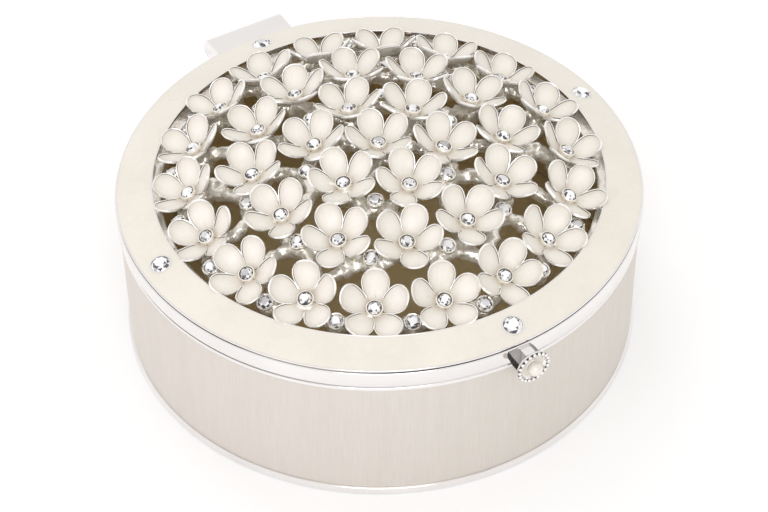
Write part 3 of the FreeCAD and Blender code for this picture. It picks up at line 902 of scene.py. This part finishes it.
# %% Cut, thicken and bend a petal
def add_petal(bm, tip_degrees, wave):
    """Petal pointing along X; wave is a point in a noise that makes each one differ."""
    start = len(bm.verts)
    first_face = len(bm.faces)
    made = bmesh.ops.create_circle(bm, cap_ends=True, segments=petal_segments, radius=1.0)
    for vert in made["verts"]:
        vert.co = petal_outline(vert.co.x, vert.co.y)
    bm.faces.ensure_lookup_table()
    bed = bm.faces[first_face]
    for finish_number, thickness, depth in petal_insets:
        bed.material_index = finish_number
        bmesh.ops.inset_region(bm, faces=[bed], thickness=thickness, depth=depth, use_boundary=True,
                               use_even_offset=True)
    bmesh.ops.poke(bm, faces=[bed])
    bm.faces.ensure_lookup_table()
    bm.verts.ensure_lookup_table()
    sheet = bm.faces[first_face:]
    layer = bm.loops.layers.uv.verify()
    for face in sheet:
        if face.calc_center_median().x < (rim_start_share - 0.5) * petal_length:
            face.material_index = glaze
        for loop in face.loops:
            loop[layer].uv = (loop.vert.co.x / petal_length + 0.5, loop.vert.co.y / petal_half_width)
    back = bmesh.ops.extrude_face_region(bm, geom=sheet, use_keep_orig=True)["geom"]
    for part in back:
        if isinstance(part, bmesh.types.BMFace):
            part.material_index = frost
        if isinstance(part, bmesh.types.BMVert):
            part.co.z -= petal_thickness
    bm.verts.ensure_lookup_table()
    bm.faces.ensure_lookup_table()
    bend_petal(bm.verts[start:], tip_degrees, wave)
    bmesh.ops.recalc_face_normals(bm, faces=bm.faces[first_face:])
    return start


def bend_petal(verts, tip_degrees, wave):
    """Bend a flat petal up along an arc and cup it across."""
    low, high = math.radians(petal_base_degrees), math.radians(tip_degrees)
    arc_radius = petal_length / (high - low)
    for vert in verts:
        x, y, lift = vert.co
        angle = low + (x + petal_length / 2) / arc_radius
        across = y / petal_half_width
        lift += petal_cup * across ** 2
        lift += petal_waver * noise.noise(Vector((x, y, 0)) / waver_size + wave)
        radius = petal_base + arc_radius * (math.sin(angle) - math.sin(low)) - lift * math.sin(angle)
        height = petal_base_level + arc_radius * (math.cos(low) - math.cos(angle)) + lift * math.cos(angle)
        vert.co = Vector((radius, y, height))


# %% [markdown]
# ## One blossom
#
# Five petals stand round a flared calyx, and a thin turned bezel holds the stone. Every casting was bent
# by hand a little, so no two blossoms are the same: each is turned by chance, and each petal opens to its
# own angle. The petals towards the photograph's viewer open flatter than the others.

# %% Make the blossoms
petal_count = 5
open_spread_degrees = 5.0
front_droop_degrees = 22.0
front = Matrix.Rotation(camera_azimuth, 3, "Z") @ Vector((0, -1, 0))
sway_degrees = 2.0
wave_span = 50
calyx_foot, calyx_head = 1.1 * mm, 1.35 * mm
calyx_height, calyx_crown = 0.45 * mm, 0.6 * mm
bezel_outside, bezel_inside, stone_seat = 1.42 * mm, 1.22 * mm, 1.05 * mm
bezel_low, bezel_high = 0.5 * mm, 1.55 * mm
bezel_drop, bezel_break, seat_drop = 0.1 * mm, 0.08 * mm, 0.12 * mm
calyx_steps, bezel_steps = 20, 24


# %% Put a blossom together
def add_turned(bm, corners, steps, material):
    """Add a small turned form to a bmesh."""
    first = len(bm.faces)
    small = seed(turned(corners, steps=steps))
    bm.from_mesh(small)
    bm.faces.ensure_lookup_table()
    for face in bm.faces[first:]:
        face.material_index = material
    bpy.data.meshes.remove(small)


def blossom(draw, place):
    """Seed mesh of the blossom for a place, with its back at the origin."""
    bm = bmesh.new()
    bm.loops.layers.uv.new("petal")
    for number in range(petal_count):
        wave = Vector([draw.uniform(0, wave_span) for _ in range(3)])
        sway = math.radians(draw.uniform(-sway_degrees, sway_degrees))
        around = Matrix.Rotation(math.tau * number / petal_count + sway, 4, "Z")
        aim = (place @ around).to_3x3() @ Vector((1, 0, 0))
        droop = front_droop_degrees * max(0.0, aim.dot(front))
        tip = petal_tip_degrees - droop + draw.uniform(-open_spread_degrees, open_spread_degrees)
        start = add_petal(bm, tip, wave)
        bm.verts.ensure_lookup_table()
        bmesh.ops.transform(bm, matrix=around, verts=bm.verts[start:])
    calyx = [(0, 0), (calyx_foot, 0), (calyx_head, calyx_height), (0, calyx_crown)]
    add_turned(bm, calyx, calyx_steps, silver)
    add_turned(bm, [
        (bezel_inside, bezel_low),
        (bezel_outside, bezel_low),
        (bezel_outside, bezel_high - bezel_drop),
        (bezel_outside - bezel_break, bezel_high),
        (bezel_inside, bezel_high),
    ], bezel_steps, silver)
    # The stone's seat inside the bezel gets painted shade.
    add_turned(bm, [
        (stone_seat, bezel_low),
        (bezel_inside, bezel_low),
        (bezel_inside, bezel_high - bezel_break),
        (stone_seat, bezel_high - seat_drop),
    ], bezel_steps, shadow)
    return seed(bm)


def turned_by_chance(places, draw, spread_degrees):
    """The same places, each turned about its own axis."""
    spread = math.radians(spread_degrees)
    return [place @ Matrix.Rotation(draw.uniform(-spread, spread), 4, "Z") for place in places]


half_petal_degrees = 180.0 / petal_count
blossom_turns = turned_by_chance(blossom_places, random.Random(5), half_petal_degrees)
bending = random.Random(3)
blossom_seeds = [blossom(bending, place) for place in blossom_turns]
piece("enamel_blossoms", planted(blossom_seeds, blossom_turns), [frosted, pearly, cast, rim_highlight_finish, painted_shade_finish],
      "lid", "petal_enamel", "blossoms")

# %% [markdown]
# ## The stones
#
# A brilliant-cut stone is the hull of three rings of points: an eight-sided table, eight points half-way
# down the crown and sixteen round the girdle. A convex hull of those points gives the table, the star
# facets, the kites and the girdle facets, and joining the triangles that lie in one plane leaves the real
# facets. Each facet then draws its own painted reflection tone.

# %% Make the stones
stone_sides = 8
table_share, star_share = 0.55, 0.8
star_height_share = 0.62


def brilliant(radius, height, depth):
    """Seed mesh of a stone with its girdle at the origin's level."""
    bm = bmesh.new()
    rings = [(stone_sides, table_share * radius, height, 0.0),
             (stone_sides, star_share * radius, star_height_share * height, 0.5),
             (2 * stone_sides, radius, 0.0, 0.0),
             (2 * stone_sides, radius, -0.12 * height, 0.0),
             (stone_sides, 0.5 * radius, -depth, 0.0)]
    for sides, spread, level, offset in rings:
        lift = Matrix.Translation((0, 0, level)) @ Matrix.Rotation(math.tau * offset / sides, 4, "Z")
        bmesh.ops.create_circle(bm, segments=sides, radius=spread, matrix=lift)
    bmesh.ops.delete(bm, geom=bm.edges[:], context="EDGES_FACES")
    bmesh.ops.convex_hull(bm, input=bm.verts[:])
    bmesh.ops.dissolve_limit(bm, angle_limit=math.radians(1.0), verts=bm.verts[:], edges=bm.edges[:])
    bmesh.ops.recalc_face_normals(bm, faces=bm.faces[:])
    return seed(bm)


def facetted(name, seed_mesh, places, draw, *nodes):
    """Stones at their places, each turned by chance and with a painted reflection tone for every facet."""
    turns = turned_by_chance(places, draw, 180.0)
    made = piece(name, planted([seed_mesh], turns), [stone_finish], "lid", "crystal", *nodes, smooth=False)
    tone = made.data.attributes.new("facet", "FLOAT", "FACE")
    for face in made.data.polygons:
        is_table = len(face.vertices) == stone_sides
        tone.data[face.index].value = draw.uniform(0.36, 1.0) if is_table else draw.random()
    return made


chance = random.Random(7)
blossom_stone_radius = 1.1 * mm
blossom_stone_level = 1.45 * mm
accent_stone_radius = 1.22 * mm
accent_stone_level = 1.35 * mm
stone_crown = 0.5 * mm
stone_depth = 0.4 * mm


def raised(places, level):
    return [place @ Matrix.Translation((0, 0, level)) for place in places]


facetted("blossom_stones", brilliant(blossom_stone_radius, stone_crown, stone_depth),
         raised(blossom_places, blossom_stone_level), chance, "blossom_crystals")
facetted("small_stones", brilliant(accent_stone_radius, stone_crown, stone_depth),
         raised(accent_places, accent_stone_level), chance, "accent_crystals")

# %% [markdown]
# ## The small cups
#
# Between the blossoms the stones sit in cups of their own: a turned cup with a thin lip, and four claws
# that fold over the stone. A claw is a small ball, drawn out along the cup's wall.

# %% Make the small cups
cup_foot, cup_outside, cup_lip = 1.15 * mm, 1.5 * mm, 1.38 * mm
cup_floor, cup_shoulder, cup_high = 0.9 * mm, 1.3 * mm, 1.42 * mm
cup_chamfer = 0.06 * mm
cup_steps = 20
claw_count = 4
claw_radius = 0.26 * mm
claw_level = 1.38 * mm
claw_lean_degrees = 24.0
claw_stretch = Matrix.Diagonal((0.9, 1.0, 1.7, 1.0))


def small_cup():
    bm = bmesh.new()
    add_turned(bm, [
        (0, 0),
        (cup_foot, 0),
        (cup_outside, cup_floor),
        (cup_outside, cup_shoulder),
        (cup_lip, cup_high),
        (accent_stone_radius, cup_high - cup_chamfer),
        (accent_stone_radius, cup_floor),
        (0, cup_floor),
    ], cup_steps, 0)
    for number in range(claw_count):
        around = Matrix.Rotation(math.tau * (number + 0.5) / claw_count, 4, "Z")
        stand = around @ Matrix.Translation((cup_lip - cup_chamfer, 0, claw_level))
        shape = stand @ Matrix.Rotation(math.radians(-claw_lean_degrees), 4, "Y") @ claw_stretch
        bmesh.ops.create_icosphere(bm, subdivisions=1, radius=claw_radius, matrix=shape)
    return seed(bm)


piece("small_cups", planted([small_cup()], accent_places), [cast], "lid", "cast_silver", "accent_cups")

# %% [markdown]
# ## Stones in the ring
#
# The ring has a stone at each quarter, set square to its slope in a thin collar.

# %% Make the ring's stones
ring_stone_count = 4
ring_stone_radius = 1.6 * mm
ring_stone_crown = 0.6 * mm
ring_stone_depth = 0.3 * mm
ring_stone_level = 0.14 * mm
setting_depth, setting_high = 0.3 * mm, 0.2 * mm
setting_foot, setting_wall, setting_gap = 0.28 * mm, 0.24 * mm, 0.02 * mm
setting_steps = 28
ring_stone_middle = (ring_radius + opening_radius) / 2
slope_angle = math.atan(slope)


def ring_seats():
    seats = []
    for number in range(ring_stone_count):
        around = Matrix.Rotation(math.tau * number / ring_stone_count, 4, "Z")
        stand = Matrix.Translation((ring_stone_middle, 0, ring_level(ring_stone_middle)))
        seats.append(around @ stand @ Matrix.Rotation(slope_angle, 4, "Y"))
    return seats


def ring_collar():
    bm = bmesh.new()
    add_turned(bm, [
        (ring_stone_radius, -setting_depth),
        (ring_stone_radius + setting_foot, -setting_depth),
        (ring_stone_radius + setting_wall, ring_stone_level),
        (ring_stone_radius + setting_gap, setting_high),
    ], setting_steps, 0)
    return seed(bm)


piece("ring_collars", planted([ring_collar()], ring_seats()), [polished], "lid", "polished_silver")
facetted("ring_stones", brilliant(ring_stone_radius, ring_stone_crown, ring_stone_depth),
         raised(ring_seats(), ring_stone_level), random.Random(2), "ring_crystals")

# %% [markdown]
# ## The openwork of twigs
#
# The blossoms are carried by round twigs that bow between the stems. Each twig is a small circle spun
# about the middle of its bow, with its ends closed. Balls make the knots and lumps. A voxel remesh then
# melts the twigs and knots into one casting, and a little smoothing softens the joins, as wax does.

# %% Make the twigs
twig_radius = 1.2 * mm
twig_sides = 8
twig_steps = 6
twig_bow_share = 0.17
lump_shares = (0.2, 0.42, 0.62, 0.82)
lump_radii = (0.8 * mm, 1.5 * mm)
lump_drift = 0.75 * mm
blossom_knot = 2.5 * mm
blossom_knot_sink = 2.1 * mm
cup_knot = 2.0 * mm
twig_sink = 0.95 * mm
voxel = 0.35 * mm
cast_lump = 0.3 * mm
cast_lump_size = 1.1 * mm


def stem(place):
    return place @ Vector((0, 0, -twig_sink))


def add_twig(bm, start, end, towards, bow, draw):
    """Round twig bowed on the dome, on the side that faces towards, with lumps along it."""
    chord = end - start
    middle = (start + end) / 2
    side = (middle - dome_centre).cross(chord).normalized()
    if side.dot(towards) < 0:
        side.negate()
    sag = bow * chord.length
    bow_radius = (chord.length ** 2 / 4 + sag ** 2) / (2 * sag)
    centre = middle + side * (sag - bow_radius)
    axis = (start - centre).cross(end - centre).normalized()
    sweep = (start - centre).angle(end - centre)
    outwards = (start - centre).normalized()
    across = Matrix((outwards, axis, outwards.cross(axis))).transposed().to_4x4()
    made = bmesh.ops.create_circle(bm, segments=twig_sides, radius=twig_radius,
                                   matrix=Matrix.Translation(start) @ across)
    ring = list({edge for vert in made["verts"] for edge in vert.link_edges})
    run = bmesh.ops.spin(bm, geom=made["verts"] + ring, cent=centre, axis=axis, angle=sweep,
                         steps=twig_steps)
    last = [part for part in run["geom_last"] if isinstance(part, bmesh.types.BMEdge)]
    bmesh.ops.holes_fill(bm, edges=ring + last, sides=0)
    for share in lump_shares:
        turn = Matrix.Rotation(sweep * (share + draw.uniform(-0.1, 0.1)), 3, axis)
        on_arc = centre + turn @ (start - centre)
        drift = Vector((draw.uniform(-1, 1), draw.uniform(-1, 1), draw.uniform(-0.3, 1))) * lump_drift
        add_knot(bm, on_arc + drift, draw.uniform(*lump_radii))


def add_knot(bm, spot, radius):
    bmesh.ops.create_icosphere(bm, subdivisions=2, radius=radius, matrix=Matrix.Translation(spot))


def nearest(spot, others, count):
    return sorted(others, key=lambda other: (other - spot).length)[:count]


# %% Join the blossoms and cups
def twig_network():
    """Twigs from each cup to the two blossoms beside it and the two further out, bowed round the gaps."""
    draw = random.Random(11)
    bm = bmesh.new()
    rows = [[stem(place) for place in ring] for ring in blossom_rings]
    for spot in rows[1]:
        add_twig(bm, spot, rows[0][0], Vector((1, 0, 0)), twig_bow_share, draw)
    for ring, cups in zip(rings, accent_rings):
        for spot in [stem(cup) for cup in cups]:
            add_knot(bm, spot, cup_knot)
            inwards = rows[0][0] - spot
            for end in nearest(spot, rows[ring], 2):
                add_twig(bm, spot, end, -inwards, twig_bow_share * draw.uniform(0.6, 1.2), draw)
            if ring + 1 < len(rows):
                for end in nearest(spot, rows[ring + 1], 2):
                    add_twig(bm, spot, end, inwards, twig_bow_share * draw.uniform(0.8, 1.4), draw)
    for place in blossom_places:
        add_knot(bm, place @ Vector((0, 0, -blossom_knot_sink)), blossom_knot)
    return bm


# %% Melt the twigs into one casting
def melted(bm, size):
    """One closed skin round everything in a bmesh."""
    mesh = seed(bm)
    lump = bpy.data.objects.new("lump", mesh)
    bpy.context.scene.collection.objects.link(lump)
    remesh = lump.modifiers.new("melt", "REMESH")
    remesh.mode = "VOXEL"
    remesh.voxel_size = size
    graph = bpy.context.evaluated_depsgraph_get()
    skin = bpy.data.meshes.new_from_object(lump.evaluated_get(graph))
    bpy.data.objects.remove(lump)
    result = bmesh.new()
    result.from_mesh(skin)
    for _ in range(3):
        bmesh.ops.smooth_vert(result, verts=result.verts[:], factor=0.5, use_axis_x=True, use_axis_y=True,
                              use_axis_z=True)
    result.normal_update()
    for vert in result.verts:
        vert.co += vert.normal * cast_lump * noise.noise(vert.co / cast_lump_size)
    return result


piece("silver_twigs", melted(twig_network(), voxel), [cast], "lid", "cast_silver", "lattice")

# %% [markdown]
# ## The edge of the openwork
#
# The twigs end in a hoop, and a flat flange on it is held under the ring by a second ring from below. The
# hoop and the flange are turned in one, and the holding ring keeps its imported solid, with a polished
# finish.

# %% Hoop and flange
hoop_gap, hoop_wall, hoop_rounding = 0.4 * mm, 0.9 * mm, 0.3 * mm
hoop_outside = opening_radius - hoop_gap
hoop_inside = hoop_outside - hoop_wall
hoop_low = levels("lattice")[0]
piece("openwork_hoop", turned([
    (hoop_inside, hoop_low),
    (hoop_outside, hoop_low),
    (hoop_outside, flange_low),
    (flange_radius, flange_low),
    (flange_radius, flange_high),
    (hoop_inside, flange_high),
], {5: hoop_rounding}), [cast], "lid", "cast_silver", "lattice")

# %% [markdown]
# ## The knob
#
# The knob stands on the front of the band: an eight-sided collar, a turned dish with a beaded rim, and a
# pearl in the dish. A polished facet shows one tone, because it mirrors one part of the room, so each
# side of the collar is painted with a reflection tone of its own: the top a painted reflection of the white
# ceiling, and the sides and the underside painted dark.


# %% Facet silver
def facet_silver(where):
    facet = where.node("Attribute", {"attribute_name": "facet"}, out="Fac")
    clouds = where.noise(500.0)
    black, dim = (0.008, 0.007, 0.006), (0.2, 0.19, 0.185)
    grey, white = (0.6, 0.58, 0.57), (0.93, 0.92, 0.91)
    tone = facet + clouds * 0.16 - 0.08
    return {
        # painted reflections: top facets white, sides and underside dark
        "Base Color": tone.ramp((0.0, black), (0.35, dim), (0.65, grey), (1.0, white)),
        "Metallic": 0.5 + 0.4 * facet,
        "Roughness": 0.08 + 0.12 * clouds,
        "Specular IOR Level": 0.1,
        "Specular Tint": (0.4, 0.38, 0.37, 1.0),
    }


facets = finish("facet_silver", facet_silver)

# %% Make the collar
collar_low, collar_high = levels("knob_collar")
knob_level = (collar_low + collar_high) / 2
collar_half = (collar_high - collar_low) / 2
collar_front = -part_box("knob_collar")[0].y
collar_sides = 8
collar_root = 0.6 * mm
collar_start = lid_radius - collar_root
forwards = Matrix.Translation((0, 0, knob_level)) @ Matrix.Rotation(math.radians(90), 4, "X")
top_tone, slant_tone, side_tone, under_tone = 0.92, 0.5, 0.04, 0.12


def eight_sided_collar():
    """Prism along the knob's axis, with its outer edges broken."""
    bm = bmesh.new()
    turn = Matrix.Translation((0, 0, collar_start)) @ Matrix.Rotation(math.pi / collar_sides, 4, "Z")
    corner_radius = collar_half / math.cos(math.pi / collar_sides)
    bmesh.ops.create_circle(bm, cap_ends=True, segments=collar_sides, radius=corner_radius, matrix=turn)
    run = bmesh.ops.extrude_face_region(bm, geom=bm.faces[:])["geom"]
    front = [part for part in run if isinstance(part, bmesh.types.BMVert)]
    bmesh.ops.translate(bm, verts=front, vec=(0, 0, collar_front - collar_start))
    bmesh.ops.recalc_face_normals(bm, faces=bm.faces[:])
    bmesh.ops.bevel(bm, geom=bm.edges[:], offset=edge_break, offset_type="OFFSET", affect="EDGES",
                    segments=2, profile=0.5, material=-1)
    bmesh.ops.transform(bm, matrix=forwards, verts=bm.verts[:])
    return bm


def collar_tone(normal):
    """Painted reflection tone of a facet, by the way it faces."""
    if normal.z > 0.85:
        return top_tone
    if normal.z > 0.3:
        return slant_tone
    return side_tone if normal.z > -0.3 else under_tone


knob_collar = piece("knob_collar_facets", eight_sided_collar(), [facets], "lid", "polished_silver",
                    "knob_collar", smooth=False)
collar_facets = knob_collar.data.attributes.new("facet", "FLOAT", "FACE")
for face in knob_collar.data.polygons:
    collar_facets.data[face.index].value = collar_tone(face.normal)

# %% [markdown]
# ## The dish and the pearl
#
# The dish is turned with a small nib for the pearl, and little balls stand round its rim. The pearl is a
# ball that is flattened and made uneven by a faint noise, because an even ball looks like glass.

# %% Make the beaded dish and its pearl
dish_low, dish_high = levels("knob_bezel")
dish_radius = (dish_high - dish_low) / 2
dish_foot, dish_flare = 2.0 * mm, 0.5 * mm
dish_floor, dish_height = 0.45 * mm, 1.0 * mm
dish_lip, dish_wall = 0.55 * mm, 0.8 * mm
dish_rounding, dish_break = 0.2 * mm, 0.1 * mm
dish_steps = 72
nib_outside, nib_top, nib_inside, nib_height = 1.1 * mm, 1.0 * mm, 0.8 * mm, 0.25 * mm
bead_count = 20
bead_radius = 0.33 * mm
bead_inset, bead_rise = 0.27 * mm, 0.05 * mm
pearl_radius = 1.25 * mm
pearl_flatness = 0.95
pearl_waver, pearl_waver_size = 0.03, 2.0 * mm
pearl_lift = dish_floor + 0.8 * pearl_radius


def beaded_dish():
    bm = turned([
        (0, 0),
        (dish_foot, 0),
        (dish_radius, dish_flare),
        (dish_radius, dish_height),
        (dish_radius - dish_lip, dish_height),
        (dish_radius - dish_wall, dish_floor),
        (nib_outside, dish_floor),
        (nib_top, dish_floor + nib_height),
        (nib_inside, dish_floor),
        (0, dish_floor),
    ], {2: dish_rounding, 3: dish_break, 5: dish_rounding}, dish_steps)
    # The lip's top round the beads gets painted shade.
    darkened(bm, dish_radius - 1.1 * dish_lip, dish_radius, 0.9 * dish_height, 2 * dish_height)
    for face in bm.faces:
        if face.normal.z > 0.9 and face.calc_center_median().z < 0.9 * dish_height:
            face.material_index = 2
    for number in range(bead_count):
        around = Matrix.Rotation(math.tau * number / bead_count, 4, "Z")
        spot = around @ Matrix.Translation((dish_radius - bead_inset, 0, dish_height + bead_rise))
        bmesh.ops.create_icosphere(bm, subdivisions=2, radius=bead_radius, matrix=spot)
    bmesh.ops.transform(bm, matrix=forwards @ Matrix.Translation((0, 0, collar_front)), verts=bm.verts[:])
    return bm


def dish_pearl():
    """Ball that grew a little flat and uneven, as a real pearl does."""
    bm = bmesh.new()
    bmesh.ops.create_uvsphere(bm, u_segments=48, v_segments=24, radius=pearl_radius)
    for vert in bm.verts:
        vert.co *= 1 + pearl_waver * noise.noise(vert.co / pearl_waver_size)
        vert.co.z *= pearl_flatness
    spot = forwards @ Matrix.Translation((0, 0, collar_front + pearl_lift))
    bmesh.ops.transform(bm, matrix=spot, verts=bm.verts[:])
    return bm


piece("beaded_dish", beaded_dish(), [polished, painted_shade_finish, enamel], "lid", "cast_silver", "knob_bezel")
piece("dish_pearl", dish_pearl(), [pearl_finish], "lid", "pearl", "knob_pearl")

# %% [markdown]
# ## The hinge
#
# The hinge leaves are milled blocks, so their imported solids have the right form. A milled block has
# broken edges: the solid's flat triangles are joined into whole faces, and its sharp edges are bevelled.
# Small plugs close the ends of the pin's bore.

# %% Break the hinge's edges
sharp_degrees = 50.0
bore_radius = 0.64 * mm
plug_depth = 0.1 * mm
plate_break = 0.1 * mm
seam_width = 0.3 * mm
solder_overlap = 0.5 * mm
pin_place = sum(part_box("hinge_pin"), Vector()) / 2


def broken_edges(node, offset):
    """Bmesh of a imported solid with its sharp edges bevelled."""
    bm = bmesh.new()
    bm.from_mesh(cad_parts[node].data)
    bmesh.ops.remove_doubles(bm, verts=bm.verts[:], dist=1e-6)
    bmesh.ops.dissolve_limit(bm, angle_limit=math.radians(1.0), verts=bm.verts[:], edges=bm.edges[:])
    sharp = [edge for edge in bm.edges if len(edge.link_faces) == 2
             and edge.calc_face_angle() > math.radians(sharp_degrees)]
    bmesh.ops.bevel(bm, geom=sharp, offset=offset, offset_type="OFFSET", affect="EDGES", segments=2,
                    profile=0.5, material=-1, clamp_overlap=True)
    bmesh.ops.recalc_face_normals(bm, faces=bm.faces[:])
    return bm


def plugs():
    """Two turned plugs with broken edges, flush in the ends of the pin's bore."""
    bm = bmesh.new()
    for side in (-1, 1):
        start = len(bm.verts)
        add_turned(bm, [
            (0, 0),
            (bore_radius, 0),
            (bore_radius, 0.6 * plug_depth),
            (0.9 * bore_radius, plug_depth),
            (0, plug_depth),
        ], 24, 0)
        bm.verts.ensure_lookup_table()
        spot = Matrix.Translation(pin_place + Vector((side * (hinge_half - plug_depth), 0, 0)))
        outwards = Matrix.Rotation(math.radians(90 * side), 4, "Y")
        bmesh.ops.transform(bm, matrix=spot @ outwards, verts=bm.verts[start:])
    return bm


def soldered_block():
    """The lid's leaf, with the face on the ring drawn in, so that solder seems to fill the seam."""
    bm = broken_edges("hinge_lid_leaf", edge_break)
    seam = min(math.hypot(vert.co.x, vert.co.y) for vert in bm.verts) + seam_width
    for vert in bm.verts:
        distance = math.hypot(vert.co.x, vert.co.y)
        if distance < seam and vert.co.z > band_high:
            vert.co.xy *= 1 - solder_overlap / distance
    return bm


piece("hinge_block", soldered_block(), [polished], "lid", "polished_silver", "hinge_lid_leaf")
piece("hinge_plate", broken_edges("hinge_base_leaf", plate_break), [polished], "base", "polished_silver",
      "hinge_base_leaf")
piece("bore_plugs", plugs(), [polished], "lid", "polished_silver")

# %% [markdown]
# ## The solids that stay
#
# The pin and the ring that holds the openwork from below are plain turned forms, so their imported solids
# stay, and only their finishes change.

# %% Finishes for the solids that stay
for node, material in {"lattice_retainer": polished, "hinge_pin": wire_finish}.items():
    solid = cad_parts[node]
    solid.data.materials.clear()
    solid.data.materials.append(material)
    print(node, "keeps its solid, in", material.name)

# %% [markdown]
# ## The table and the light
#
# The photograph is high-key: a white table, white walls and one large soft light near the camera. The
# world gives the even white, and the table is a plain pale sheet. A broad panel in front gives the petals
# their soft side, one behind lights the far rows, and one on the left gives the drum a faint lilac tint.
# The silver mirrors only the first, as the other two stand for light from the room's walls.

# %% Table and lights
bpy.context.scene.view_settings.view_transform = "Standard"
table_reach = 4.0


def make_table():
    bm = bmesh.new()
    bmesh.ops.create_grid(bm, x_segments=1, y_segments=1, size=table_reach)
    mesh = bpy.data.meshes.new("table")
    bm.to_mesh(mesh)
    bm.free()
    table = bpy.data.objects.new("table", mesh)
    bpy.context.scene.collection.objects.link(table)
    sheet = bpy.data.materials.new("pale_table")
    sheet.use_nodes = True
    shader = sheet.node_tree.nodes["Principled BSDF"]
    shader.inputs["Base Color"].default_value = (0.84, 0.84, 0.84, 1)
    shader.inputs["Roughness"].default_value = 0.6
    shader.inputs["Emission Color"].default_value = (1.0, 1.0, 1.0, 1)
    shader.inputs["Emission Strength"].default_value = 0.09
    mesh.materials.append(sheet)
    return table


def soft_panel(name, spot, width, power, colour, mirrored):
    """Square area light at a spot, facing the box, that the silver mirrors or not."""
    panel = bpy.data.lights.new(name, "AREA")
    panel.size = width
    panel.energy = power
    panel.color = colour
    lamp = bpy.data.objects.new(name, panel)
    lamp.location = spot
    lamp.rotation_euler = (-Vector(spot)).to_track_quat("-Z", "Y").to_euler()
    lamp.visible_glossy = mirrored
    bpy.context.scene.collection.objects.link(lamp)
    return lamp


table = make_table()
world = bpy.data.worlds.new("white_room")
bpy.context.scene.world = world
world.use_nodes = True
world.node_tree.nodes["Background"].inputs["Color"].default_value = (1.0, 0.99, 0.98, 1)
world.node_tree.nodes["Background"].inputs["Strength"].default_value = 0.97
key_light = soft_panel("key_panel", (-0.5, -0.9, 0.9), 0.7, 4.4, (1.0, 1.0, 1.0), True)
back_light = soft_panel("back_panel", (0.1, 1.0, 1.1), 0.7, 2.2, (1.0, 1.0, 1.0), False)
fill_light = soft_panel("fill_panel", (-1.3, -0.1, 0.2), 0.7, 3.2, (0.95, 0.84, 1.0), False)
print("lit by the room and by", [lamp.name for lamp in (key_light, back_light, fill_light)])
